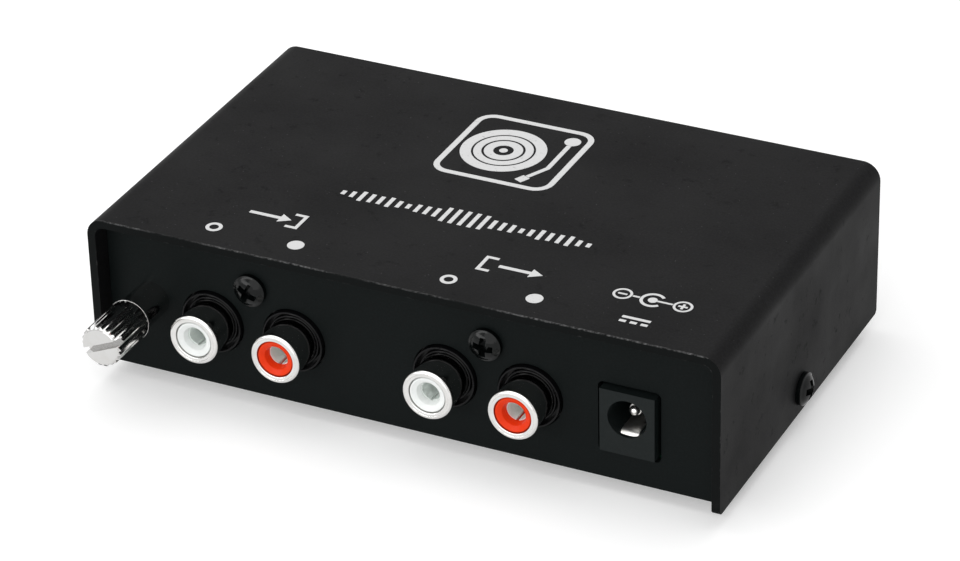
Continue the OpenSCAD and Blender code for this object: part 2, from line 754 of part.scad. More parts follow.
module ground_thumbscrew() {
    face = thumb_l;
    color([0.8, 0.79, 0.76]) translate([ground_x, thumb_back, ground_z]) {
        difference() {
            turned_out([[0, 0], [thumb_r - rear_chamfer, 0], [thumb_r, rear_chamfer],
                [thumb_r, face - thumb_chamfer], [thumb_r - thumb_chamfer, face], [0, face]]);
            for (i = [0:knurl_count - 1]) rotate([0, i * 360 / knurl_count, 0])
                translate([thumb_r, -face / 2, 0]) rotate([0, 45, 0])
                    cube([knurl_cut, face + 2 * cut, knurl_cut], center = true);
            rotate([0, -slot_angle, 0]) translate([-thumb_r - cut, -face - cut, -slot_w / 2])
                cube([2 * (thumb_r + cut), slot_l + cut, slot_w]);
        }
        translate([0, -cut, 0]) rod_in(shank_r, shank_l + cut);
    }
}

// ---------------------------------------------------------------- circuit board

// the two leads of a standing capacitor
module cap_leads(places, spread, r, z0, z1) {
    for (p = places, s = [-1, 1]) translate([p[0] + s * spread, p[1], z0]) cylinder(h = z1 - z0, r = r);
}

supply_spread = 2.5;
couple_spread = 1.25;
film_spread = 2.5;

module circuit_board() {
    hole = lead_r + lead_gap;
    notch_d = max(screw_l - (case_w - board_w) / 2, 0) + notch_gap;
    notch_w = 2 * (screw_r + notch_gap);
    low = board_z - cut;
    high = board_top + cut;
    color([0.05, 0.3, 0.16]) difference() {
        translate([-board_w / 2, board_front, board_z]) cube([board_w, board_back - board_front, board_t]);
        for (p = board_screw_places)
            translate([p[0], p[1], low]) cylinder(h = high - low, r = screw_r + screw_clear);
        cap_leads(supply_places, supply_spread, hole, low, high);
        cap_leads(couple_places, couple_spread, hole, low, high);
        cap_leads(film_places, film_spread, hole, low, high);
        for (x = [input_left_x, input_right_x, output_left_x, output_right_x]) {
            translate([x, tail_y, low]) cylinder(h = high - low, r = tail_r + lead_gap);
            translate([x - leg_w / 2 - lead_gap, leg_y - lead_gap, low])
                cube([leg_w + 2 * lead_gap, leg_t + 2 * lead_gap, high - low]);
        }
        translate([power_x, pin_tail_y, low]) cylinder(h = high - low, r = hole);
        translate([power_x - power_leg_w / 2 - lead_gap, spring_leg_y - lead_gap, low])
            cube([power_leg_w + 2 * lead_gap, spring_t + 2 * lead_gap, high - low]);
        // room for the ends of the cover screws
        for (s = [-1, 1]) translate([s * board_w / 2 - notch_d, case_y - notch_w / 2, low])
            cube([2 * notch_d, notch_w, high - low]);
    }
}

module board_posts() {
    color([0.7, 0.7, 0.7]) for (p = board_screw_places) translate([p[0], p[1], floor_z]) difference() {
        cylinder(h = stand_h, r = stand_r);
        translate([0, 0, -cut]) cylinder(h = stand_h + 2 * cut, r = screw_r + thread_gap);
    }
}

module board_screws() {
    short = 0.4;
    for (p = board_screw_places)
        translate([p[0], p[1], board_top]) pan_screw(board_t + stand_h - short, screw_r);
}

// a small-outline chip: moulded body and eight gull-wing legs
module chip(x, y) {
    l = chip_size[0];
    w = chip_size[1];
    h = chip_size[2];
    stand = 0.15;
    leg = 0.4;
    leg_foot = 0.2;
    reach = chip_reach;
    pitch = 1.27;
    translate([x, y, board_top]) {
        color([0.08, 0.08, 0.08]) translate([-l / 2, -w / 2, stand]) cube([l, w, h]);
        color("silver") for (i = [-1.5:1.5], s = [-1, 1]) {
            translate([i * pitch - leg / 2, s > 0 ? w / 2 : -w / 2 - reach / 2, 0])
                cube([leg, reach / 2, stand + h / 2]);
            translate([i * pitch - leg / 2, s > 0 ? w / 2 : -w / 2 - reach, 0]) cube([leg, reach, leg_foot]);
        }
    }
}

module left_amplifier_chip() { chip(left_chip_x, chip_row_y); }

module right_amplifier_chip() { chip(right_chip_x, chip_row_y); }

// a flat power package: metal tab, moulded body and two bent legs
module voltage_regulator() {
    body = regulator_size;
    tab = [5.4, 1.6, 0.5];
    leg = [0.8, 2.6, 0.5];
    leg_spread = 2.28;
    translate([regulator_x, regulator_y, board_top]) {
        color([0.08, 0.08, 0.08]) translate([-body[0] / 2, -body[1] / 2, 0]) cube(body);
        color("silver") {
            translate([-tab[0] / 2, body[1] / 2, 0]) cube(tab);
            for (s = [-1, 1]) translate([s * leg_spread - leg[0] / 2, -body[1] / 2 - leg[1], 0]) cube(leg);
        }
    }
}

// a standing electrolytic can: sleeve with a rolled-in waist, and its two leads
module can(p, r, h, spread) {
    waist_h = 1.6;
    waist = 0.3;
    edge = 0.5;
    translate([p[0], p[1], board_top]) rotate_extrude() polygon([
        [0, 0], [r - edge, 0], [r, edge], [r, waist_h], [r - waist, waist_h + waist],
        [r, waist_h + 2 * waist], [r, h - edge], [r - edge, h], [0, h]
    ]);
    for (s = [-1, 1]) translate([p[0] + s * spread, p[1], board_z - lead_under])
        cylinder(h = board_t + lead_under + cut, r = lead_r);
}

module supply_capacitors() {
    color([0.1, 0.12, 0.2]) for (p = supply_places) can(p, supply_cap_r, supply_cap_h, supply_spread);
}

module coupling_capacitors() {
    color([0.12, 0.1, 0.1]) for (p = couple_places) can(p, couple_cap_r, couple_cap_h, couple_spread);
}

module film_capacitors() {
    color([0.75, 0.15, 0.1]) for (p = film_places) {
        translate([p[0] - film_size[0] / 2, p[1] - film_size[1] / 2, board_top]) cube(film_size);
        for (s = [-1, 1]) translate([p[0] + s * film_spread, p[1], board_z - lead_under])
            cylinder(h = board_t + lead_under + cut, r = lead_r);
    }
}

// a surface-mounted block with its two plated ends
module surface_block(p, size, shade) {
    cap = 0.35;
    translate([p[0], p[1], board_top]) {
        color(shade) translate([-size[1] / 2, -size[0] / 2 + cap, 0])
            cube([size[1], size[0] - 2 * cap, size[2]]);
        color("silver") for (s = [-1, 1])
            translate([-size[1] / 2, s > 0 ? size[0] / 2 - cap : -size[0] / 2, 0])
                cube([size[1], cap, size[2]]);
    }
}

module resistors() {
    for (p = resistor_places) surface_block(p, resistor_size, [0.1, 0.1, 0.1]);
}

module ceramic_capacitors() {
    for (p = ceramic_places) surface_block(p, ceramic_size, [0.7, 0.55, 0.35]);
}

module input_diode() { surface_block([diode_x, diode_y], diode_size, [0.1, 0.1, 0.1]); }

// ---------------------------------------------------------------- nodes

top_cover();
tray();
cover_screw_left();
cover_screw_right();
foot_front_left();
foot_front_right();
foot_back_left();
foot_back_right();
input_socket_body();
output_socket_body();
input_left_shell();
input_right_shell();
output_left_shell();
output_right_shell();
input_left_insulator();
input_right_insulator();
output_left_insulator();
output_right_insulator();
input_left_contact();
input_right_contact();
output_left_contact();
output_right_contact();
input_socket_screw();
output_socket_screw();
power_socket_body();
power_socket_pin();
power_socket_spring();
ground_post();
ground_nut();
ground_lug();
ground_washer();
ground_thumbscrew();
circuit_board();
board_posts();
board_screws();
left_amplifier_chip();
right_amplifier_chip();
voltage_regulator();
supply_capacitors();
coupling_capacitors();
film_capacitors();
resistors();
ceramic_capacitors();
input_diode();
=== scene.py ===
"""Looks of a small phono preamplifier in a folded black steel box.

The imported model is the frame: +X runs along the socket panel, +Y to the back and +Z up,
in metres. Sizes below are written in millimetres and scaled once, where a vertex is made.
"""

import logging
import math
from collections.abc import Callable, Sequence
from dataclasses import dataclass, field
from enum import Enum

import bmesh
import bpy
from mathutils import Matrix, Vector


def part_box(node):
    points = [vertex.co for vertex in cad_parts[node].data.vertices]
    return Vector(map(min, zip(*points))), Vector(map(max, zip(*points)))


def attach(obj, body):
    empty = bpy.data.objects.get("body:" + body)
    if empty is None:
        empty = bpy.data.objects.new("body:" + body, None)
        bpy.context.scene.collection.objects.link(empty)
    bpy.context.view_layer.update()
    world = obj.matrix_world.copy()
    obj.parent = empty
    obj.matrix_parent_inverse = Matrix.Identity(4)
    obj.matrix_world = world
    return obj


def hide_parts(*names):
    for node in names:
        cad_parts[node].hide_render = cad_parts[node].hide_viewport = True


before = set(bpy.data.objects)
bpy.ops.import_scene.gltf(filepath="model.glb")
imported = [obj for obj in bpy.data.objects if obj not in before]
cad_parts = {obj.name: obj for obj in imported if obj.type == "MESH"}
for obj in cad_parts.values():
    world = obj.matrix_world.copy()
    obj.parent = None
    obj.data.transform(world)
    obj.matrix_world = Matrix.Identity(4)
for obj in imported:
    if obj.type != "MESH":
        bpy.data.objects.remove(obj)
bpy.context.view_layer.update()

MM = 0.001
LOG = logging.getLogger("preamplifier")

Colour = tuple[float, float, float]
Corner = tuple[float, float, float]
Spot = tuple[float, float, float]
Point = tuple[float, float]
Value = float | Sequence[float] | bpy.types.NodeSocket

PAIRS = ("input", "output")
SIDES = ("left", "right")
SQUARE = ((-1, -1), (1, -1), (1, 1), (-1, 1))

# Degrees from which an edge stays sharp, and below which two faces count as one.
SHARP = 32.0
FLAT = 0.5

# Steps of a round part that is seen close.
ROUND = 120


def rgba(colour: Colour) -> tuple[float, float, float, float]:
    """A colour with full alpha."""
    return (*colour, 1.0)


def low(node: str) -> Vector:
    """Lowest corner of a CAD node, in millimetres."""
    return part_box(node)[0] / MM


def high(node: str) -> Vector:
    """Highest corner of a CAD node, in millimetres."""
    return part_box(node)[1] / MM


def middle(node: str) -> Vector:
    """Centre of a CAD node's box, in millimetres."""
    return (low(node) + high(node)) / 2


# ---------------------------------------------------------------- shader nodes


class Graph:
    """A shader node tree while it is being wired."""

    def __init__(self, tree: bpy.types.NodeTree) -> None:
        """Starts on the tree that takes the nodes."""
        self.tree = tree

    def add(self, kind: str, inputs: dict[str, Value] | None = None, **settings: object) -> bpy.types.Node:
        """Adds one node.

        Args:
            kind: the node's type name.
            inputs: a value or an output socket for each named input.
            settings: the node's own settings.

        Returns:
            The node.
        """
        node = self.tree.nodes.new(kind)
        for name, value in settings.items():
            setattr(node, name, value)
        for name, value in (inputs or {}).items():
            self.feed(node.inputs[name], value)
        return node

    def feed(self, socket: bpy.types.NodeSocket, value: Value) -> None:
        """Links a socket to an output, or sets its own value.

        Args:
            socket: the input that is fed.
            value: an output socket, or a plain value.
        """
        if isinstance(value, bpy.types.NodeSocket):
            self.tree.links.new(value, socket)
        else:
            socket.default_value = value

    def fill(self, kind: str, *terms: Value, **settings: object) -> bpy.types.Node:
        """Adds one node and feeds its inputs in their order.

        Args:
            kind: the node's type name.
            terms: a value or an output socket for each input, from the first.
            settings: the node's own settings.

        Returns:
            The node.
        """
        node = self.add(kind, **settings)
        for socket, term in zip(node.inputs, terms):
            self.feed(socket, term)
        return node

    def math(self, operation: str, a: Value, b: Value = 0.0) -> bpy.types.NodeSocket:
        """The result of one sum on numbers."""
        return self.fill("ShaderNodeMath", a, b, operation=operation).outputs[0]

    def times(self, a: Value, b: Value) -> bpy.types.NodeSocket:
        """Two numbers multiplied."""
        return self.math("MULTIPLY", a, b)

    def shares(self, a: Value, b: Value, share: float) -> bpy.types.NodeSocket:
        """A share of one number, added to the rest of another."""
        return self.math("ADD", self.times(a, share), self.times(b, 1.0 - share))

    def spread(
        self, value: Value, start: float, end: float, to: float = 0.0, till: float = 1.0
    ) -> bpy.types.NodeSocket:
        """A value carried from start and end to to and till, and held at those two."""
        ends = {"Value": value, "From Min": start, "From Max": end, "To Min": to, "To Max": till}
        return self.add("ShaderNodeMapRange", ends).outputs[0]

    def blend(self, factor: Value, a: Value, b: Value) -> bpy.types.NodeSocket:
        """Two colours mixed by a factor.

        Args:
            factor: 0 for the first colour, 1 for the second.
            a: first colour.
            b: second colour.

        Returns:
            The output socket.
        """
        node = self.add("ShaderNodeMix", data_type="RGBA")
        self.feed(node.inputs[0], factor)
        self.feed(node.inputs[6], a)
        self.feed(node.inputs[7], b)
        return node.outputs[2]

    def place(self) -> bpy.types.NodeSocket:
        """A point of the surface in the frame's own metres."""
        return self.add("ShaderNodeTexCoord").outputs["Object"]

    def facing(self, axis: str) -> bpy.types.NodeSocket:
        """How far the surface faces along X, Y or Z, from -1 to 1."""
        normal = self.add("ShaderNodeNewGeometry").outputs["Normal"]
        return self.add("ShaderNodeSeparateXYZ", {"Vector": normal}).outputs[axis]

    def seen(self) -> bpy.types.NodeSocket:
        """1 for what the camera sees, straight or mirrored, and 0 for light on its way."""
        ray = self.add("ShaderNodeLightPath")
        return self.math("MAXIMUM", ray.outputs["Is Camera Ray"], ray.outputs["Is Glossy Ray"])

    def noise(
        self, where: Value, scale: Value, detail: float = 2.0, rough: float = 0.5
    ) -> bpy.types.NodeSocket:
        """Soft noise from 0 to 1, with its scale in cells to a metre."""
        inputs = {"Vector": where, "Scale": scale, "Detail": detail, "Roughness": rough}
        return self.add("ShaderNodeTexNoise", inputs).outputs["Fac"]

    def effect(self, effect: "Effect", inputs: dict[str, Value] | None = None) -> bpy.types.Node:
        """Places a shared effect, with its values here."""
        return self.add("ShaderNodeGroup", inputs, node_tree=bpy.data.node_groups[effect.value])


class Effect(Enum):
    """Effects that several finishes share, each one a node group."""

    GRAIN = "fine_grain"
    WEAR = "edge_wear"
    DUST = "settled_dust"
    TURNING = "turning_marks"


def build_effect(
    effect: Effect,
    inputs: dict[str, tuple[str, Value]],
    outputs: Sequence[str],
    wire: Callable[[Graph, bpy.types.Node], dict[str, bpy.types.NodeSocket]],
) -> None:
    """Makes one effect's node group.

    Args:
        effect: its name.
        inputs: kind of socket and first value for each input.
        outputs: names of the outputs, which are numbers.
        wire: wires the inputs and gives back the output sockets.
    """
    tree = bpy.data.node_groups.new(effect.value, "ShaderNodeTree")
    for name, (kind, value) in inputs.items():
        tree.interface.new_socket(name=name, in_out="INPUT", socket_type=kind).default_value = value
    for name in outputs:
        tree.interface.new_socket(name=name, in_out="OUTPUT", socket_type="NodeSocketFloat")
    graph = Graph(tree)
    start = graph.add("NodeGroupInput")
    end = graph.add("NodeGroupOutput")
    for name, socket in wire(graph, start).items():
        graph.feed(end.inputs[name], socket)


def wire_grain(graph: Graph, start: bpy.types.Node) -> dict[str, bpy.types.NodeSocket]:
    """Orange-peel height and cloudy tone of a coat or a moulding.

    Args:
        graph: the group's tree.
        start: its input node.

    Returns:
        Height and tone, from 0 to 1.
    """
    coarser, fine_share, speck_share = 0.37, 0.6, 0.6
    where, scale = graph.place(), start.outputs["Scale"]
    fine = graph.noise(where, scale, 3.0, 0.65)
    coarse = graph.noise(where, graph.times(scale, coarser), 1.0)
    clouds = graph.noise(where, start.outputs["Cloud scale"], 3.0)
    speck = graph.spread(fine, 0.42, 0.7)
    height = graph.shares(fine, coarse, fine_share)
    return {"Height": height, "Tone": graph.shares(speck, clouds, speck_share)}


def wire_wear(graph: Graph, start: bpy.types.Node) -> dict[str, bpy.types.NodeSocket]:
    """Where a corner is rubbed, in broken dashes.

    Args:
        graph: the group's tree.
        start: its input node.

    Returns:
        The mask of rubbed places.
    """
    soft = graph.add("ShaderNodeBevel", {"Radius": start.outputs["Radius"]}, samples=8)
    true = graph.add("ShaderNodeNewGeometry")
    normals = (soft.outputs["Normal"], true.outputs["True Normal"])
    dot = graph.fill("ShaderNodeVectorMath", *normals, operation="DOT_PRODUCT")
    corner = graph.spread(dot.outputs["Value"], 0.99, 0.93)
    broken = graph.noise(graph.place(), start.outputs["Scale"], 4.0, 0.7)
    rubbed = graph.spread(graph.math("ADD", broken, start.outputs["Amount"]), 0.95, 1.1)
    return {"Mask": graph.times(corner, rubbed)}


def wire_dust(graph: Graph, start: bpy.types.Node) -> dict[str, bpy.types.NodeSocket]:
    """Fine specks on whatever faces up.

    Args:
        graph: the group's tree.
        start: its input node.

    Returns:
        The mask of dusty places.
    """
    upward = graph.spread(graph.facing("Z"), 0.6, 1.0)
    cells = graph.add("ShaderNodeTexVoronoi", {"Vector": graph.place(), "Scale": start.outputs["Scale"]})
    speck = graph.spread(cells.outputs["Distance"], 0.12, 0.06)
    keep = graph.spread(graph.noise(graph.place(), 900.0), 0.55, 0.62)
    return {"Mask": graph.times(graph.times(upward, speck), keep)}


def wire_turning(graph: Graph, start: bpy.types.Node) -> dict[str, bpy.types.NodeSocket]:
    """Fine rings that a lathe tool leaves round an axis along Y.

    Args:
        graph: the group's tree.
        start: its input node.

    Returns:
        Height of the rings, and the tone of stains and handling marks.
    """
    terms = (graph.place(), start.outputs["Centre"])
    from_axis = graph.fill("ShaderNodeVectorMath", *terms, operation="SUBTRACT").outputs[0]
    part = graph.add("ShaderNodeSeparateXYZ", {"Vector": from_axis}).outputs
    squares = [graph.math("POWER", part[axis], 2.0) for axis in ("X", "Z")]
    radius = graph.math("SQRT", graph.math("ADD", *squares))
    line = graph.add("ShaderNodeCombineXYZ", {"X": graph.math("ADD", radius, part["Y"])})
    rings = graph.noise(line.outputs[0], start.outputs["Rings"], 2.0, 0.7)
    stains = graph.noise(graph.place(), 700.0, 4.0, 0.6)
    return {"Height": rings, "Tone": stains}


def build_effects() -> None:
    """Makes every shared node group once."""
    number, vector = "NodeSocketFloat", "NodeSocketVector"
    grain = {"Scale": (number, 2500.0), "Cloud scale": (number, 60.0)}
    build_effect(Effect.GRAIN, grain, ("Height", "Tone"), wire_grain)
    wear = {"Radius": (number, 0.3 * MM), "Scale": (number, 700.0), "Amount": (number, 0.4)}
    build_effect(Effect.WEAR, wear, ("Mask",), wire_wear)
    build_effect(Effect.DUST, {"Scale": (number, 1200.0)}, ("Mask",), wire_dust)
    turning = {"Centre": (vector, (0.0, 0.0, 0.0)), "Rings": (number, 9000.0)}
    build_effect(Effect.TURNING, turning, ("Height", "Tone"), wire_turning)


# ---------------------------------------------------------------- finishes


def blank(data: bpy.types.Material | bpy.types.World) -> Graph:
    """Empties a new material's or world's node tree.

    Args:
        data: the material or world.

    Returns:
        Its graph.
    """
    data.use_nodes = True
    data.node_tree.nodes.clear()
    return Graph(data.node_tree)


@dataclass(frozen=True)
class Finish:
    """What every finish has: its name, its shader's own values, its grain and its depth in millimetres."""

    name: str
    colour: Colour
    roughness: float
    specular: float = 0.5
    metallic: float = 0.0
    grain: float = 2600.0
    clouds: float = 60.0
    depth: float = 0.012

    def start(self) -> tuple[bpy.types.Material, Graph, bpy.types.Node]:
        """Makes the material with its own shader.

        Returns:
            The material, its graph and its shader node.
        """
        material = bpy.data.materials.new(self.name)
        graph = blank(material)
        shader = graph.add("ShaderNodeBsdfPrincipled", {
            "Base Color": rgba(self.colour), "Roughness": self.roughness,
            "Specular IOR Level": self.specular, "Metallic": self.metallic,
        })
        graph.add("ShaderNodeOutputMaterial", {"Surface": shader.outputs[0]})
        return material, graph, shader

    def grained(self, graph: Graph) -> bpy.types.bpy_prop_collection:
        """Height and tone of the finish's grain."""
        return graph.effect(Effect.GRAIN, {"Scale": self.grain, "Cloud scale": self.clouds}).outputs

    def tint(self, graph: Graph, shader: bpy.types.Node, mask: Value, other: Colour) -> None:
        """Carries the colour towards another one where a mask says so."""
        graph.feed(shader.inputs["Base Color"], graph.blend(mask, rgba(self.colour), rgba(other)))

    def bump(self, graph: Graph, shader: bpy.types.Node, height: Value) -> None:
        """Raises the surface by a height from 0 to 1."""
        bump = graph.add("ShaderNodeBump", {"Height": height, "Distance": self.depth * MM, "Strength": 1.0})
        graph.feed(shader.inputs["Normal"], bump.outputs[0])


@dataclass(frozen=True)
class PowderCoat(Finish):
    """Fine powder coat on steel: specks, a slight orange peel, rubbed corners, and painted shade on what
    faces the front where a rubbed line is given.
    """

    speck: Colour = (0.0105, 0.0105, 0.011)
    rubbed: Colour = (0.22, 0.22, 0.22)
    dust: Colour = (0.3, 0.3, 0.3)
    # Painted shade: the colour that faces toward the front, the cover's cut edges, are darkened to.
    cut_edge_shade: Colour = (0.0028, 0.0036, 0.0036)
    specular: float = 0.05
    wear: float = 0.4
    rubbed_line: Point | None = None

    def line(self, graph: Graph) -> bpy.types.NodeSocket:
        """Where the coat is rubbed through along one edge that runs along X.

        Args:
            graph: the material's graph.

        Returns:
            The mask of rubbed places.
        """
        y, z = self.rubbed_line
        terms = (graph.place(), (0.0, 1.0, 1.0), (0.0, -y * MM, -z * MM))
        away = graph.fill("ShaderNodeVectorMath", *terms, operation="MULTIPLY_ADD")
        length = graph.fill("ShaderNodeVectorMath", away.outputs[0], operation="LENGTH")
        near = graph.spread(length.outputs["Value"], 0.22 * MM, 0.15 * MM)
        run = graph.spread(graph.noise(graph.place(), 70.0), 0.36, 0.52, 0.1, 0.9)
        dash = graph.spread(graph.noise(graph.place(), 1700.0, 5.0, 0.75), 0.44, 0.6)
        return graph.times(near, graph.times(run, dash))

    def material(self) -> bpy.types.Material:
        """The finish as a material.

        Returns:
            The material.
        """
        material, graph, shader = self.start()
        grain = self.grained(graph)
        worn = graph.effect(Effect.WEAR, {"Amount": self.wear}).outputs["Mask"]
        dust = graph.effect(Effect.DUST).outputs["Mask"]
        tone = graph.blend(grain["Tone"], rgba(self.colour), rgba(self.speck))
        if self.rubbed_line:
            # Painted shade: faces toward the front, which on the cover are the sheet's cut edges, are
            # darkened.
            cut = graph.spread(graph.facing("Y"), -0.3, -0.9)
            tone = graph.blend(cut, tone, rgba(self.cut_edge_shade))
            worn = graph.math("MAXIMUM", graph.times(worn, 0.35), self.line(graph))
        dusty = graph.blend(graph.times(dust, 0.2), tone, rgba(self.dust))
        graph.feed(shader.inputs["Base Color"], graph.blend(worn, dusty, rgba(self.rubbed)))
        pits = graph.spread(graph.noise(graph.place(), 420.0, 5.0, 0.65), 0.6, 0.72)
        drift = graph.noise(graph.place(), 45.0, 4.0, 0.6)
        swing = 0.09
        rough = graph.spread(drift, 0.3, 0.7, self.roughness - swing, self.roughness + swing)
        graph.feed(shader.inputs["Roughness"], graph.math("ADD", rough, graph.times(pits, 0.16)))
        self.bump(graph, shader, graph.math("SUBTRACT", grain["Height"], graph.times(pits, 0.5)))
        return material


@dataclass(frozen=True)
class Moulding(Finish):
    """Moulded plastic or rubber with a fine grain."""

    marked: Colour = (0.03, 0.03, 0.032)
    grain: float = 1800.0
    clouds: float = 260.0
    depth: float = 0.004

    def material(self) -> bpy.types.Material:
        """The finish as a material.

        Returns:
            The material.
        """
        material, graph, shader = self.start()
        grain = self.grained(graph)
        self.tint(graph, shader, grain["Tone"], self.marked)
        rough = graph.spread(grain["Tone"], 0.0, 1.0, self.roughness - 0.03, self.roughness + 0.05)
        graph.feed(shader.inputs["Roughness"], rough)
        self.bump(graph, shader, grain["Height"])
        return material


@dataclass(frozen=True)
class Plating(Finish):
    """Plated or bare metal, turned on a lathe round an axis along Y."""

    stained: Colour = (0.56, 0.545, 0.52)
    centre: Point = (0.0, 0.0)
    rings: float = 9000.0
    metallic: float = 1.0
    depth: float = 0.0006

    def material(self) -> bpy.types.Material:
        """The finish as a material.

        Returns:
            The material.
        """
        material, graph, shader = self.start()
        x, z = self.centre
        turned = graph.effect(Effect.TURNING, {"Centre": (x * MM, 0.0, z * MM), "Rings": self.rings}).outputs
        self.tint(graph, shader, graph.spread(turned["Tone"], 0.45, 0.75, 0.0, 0.55), self.stained)
        rough = graph.spread(turned["Tone"], 0.3, 0.7, self.roughness * 0.8, self.roughness * 1.4)
        graph.feed(shader.inputs["Roughness"], rough)
        self.bump(graph, shader, turned["Height"])
        return material


@dataclass(frozen=True)
class BlackOxide(Finish):
    """Blackened steel screws, glossy, with rubbed edges."""

    rubbed: Colour = (0.05, 0.055, 0.055)
    rub: float = 0.15
    specular: float = 0.18
    grain: float = 1500.0
    clouds: float = 500.0
    depth: float = 0.006

    def material(self) -> bpy.types.Material:
        """The finish as a material.

        Returns:
            The material.
        """
        material, graph, shader = self.start()
        grain = self.grained(graph)
        wear = graph.effect(Effect.WEAR, {"Radius": self.rub * MM, "Scale": 2500.0, "Amount": 0.4})
        self.tint(graph, shader, wear.outputs["Mask"], self.rubbed)
        rough = graph.spread(grain["Tone"], 0.2, 0.8, self.roughness - 0.05, self.roughness + 0.1)
        graph.feed(shader.inputs["Roughness"], rough)
        self.bump(graph, shader, grain["Height"])
        return material


@dataclass(frozen=True)
class Ink(Finish):
    """Pale screen-printed ink, thinner where the coat's grain stands up."""

    thin: Colour = (0.2, 0.2, 0.2)
    specular: float = 0.3
    clouds: float = 300.0
    depth: float = 0.01

    def material(self) -> bpy.types.Material:
        """The finish as a material.

        Returns:
            The material.
        """
        material, graph, shader = self.start()
        height = self.grained(graph)["Height"]
        self.tint(graph, shader, graph.spread(height, 0.58, 0.75, 0.0, 0.8), self.thin)
        self.bump(graph, shader, height)
        return material


@dataclass(frozen=True)
class Laminate(Finish):
    """A circuit board: green mask over copper tracks."""

    track: Colour = (0.03, 0.2, 0.1)
    specular: float = 0.6
    grain: float = 900.0
    depth: float = 0.02

    def material(self) -> bpy.types.Material:
        """The finish as a material.

        Returns:
            The material.
        """
        material, graph, shader = self.start()
        stretch = graph.add("ShaderNodeMapping", {"Vector": graph.place(), "Scale": (1.0, 0.6, 1.0)})
        brick = {"Vector": stretch.outputs[0], "Scale": 90.0, "Mortar Size": 0.05}
        tracks = graph.add("ShaderNodeTexBrick", brick).outputs["Fac"]
        self.tint(graph, shader, tracks, self.track)
        self.bump(graph, shader, graph.math("ADD", tracks, graph.times(self.grained(graph)["Height"], 0.2)))
        return material


# ---------------------------------------------------------------- meshes


def rounded(corners: Sequence[Corner], closed: bool = True, steps: int = 6) -> list[Point]:
    """An outline whose corners are arcs.

    Args:
        corners: two coordinates and a radius for each corner, in millimetres.
        closed: whether the last corner runs on to the first.
        steps: how many pieces each arc has.

    Returns:
        The outline's points.
    """
    points: list[Point] = []
    count = len(corners)
    for i, (u, v, radius) in enumerate(corners):
        here = Vector((u, v))
        if radius <= 0 or (not closed and i in (0, count - 1)):
            points.append((u, v))
            continue
        back = (Vector(corners[i - 1][:2]) - here).normalized()
        on = (Vector(corners[(i + 1) % count][:2]) - here).normalized()
        half = back.angle(on) / 2
        centre = here + (back + on).normalized() * (radius / math.sin(half))
        start = here + back * (radius / math.tan(half)) - centre
        end = here + on * (radius / math.tan(half)) - centre
        turn = math.atan2(start.x * end.y - start.y * end.x, start.dot(end))
        for k in range(steps + 1):
            spot = centre + Matrix.Rotation(turn * k / steps, 2) @ start
            points.append((spot.x, spot.y))
    return points


def rounded_box(lowest: Point, highest: Point, radius: float) -> list[Point]:
    """A rectangle between two corners, with rounded corners of one radius."""
    (u0, v0), (u1, v1) = lowest, highest
    return rounded([(u, v, radius) for u, v in ((u0, v0), (u1, v0), (u1, v1), (u0, v1))])


def smooth(mesh: bmesh.types.BMesh, sharp: float) -> None:
    """Shades a mesh smooth, apart from its open and its sharp edges.

    Args:
        mesh: the mesh.
        sharp: angle in degrees from which an edge stays sharp.
    """
    for face in mesh.faces:
        face.smooth = True
    for edge in mesh.edges:
        edge.smooth = len(edge.link_faces) == 2 and edge.calc_face_angle() < math.radians(sharp)


def new_object(name: str, data: bpy.types.ID) -> bpy.types.Object:
    """Puts data into the scene as an object.

    Args:
        name: the object's name.
        data: a mesh, a lamp or a camera.

    Returns:
        The object.
    """
    made = bpy.data.objects.new(name, data)
    bpy.context.scene.collection.objects.link(made)
    return made


def stand(spot: Sequence[float], angle: float, axis: str) -> Matrix:
    """The move that turns a thing by some degrees about an axis, and then takes it to a spot."""
    return Matrix.Translation(Vector(spot) * MM) @ Matrix.Rotation(math.radians(angle), 4, axis)


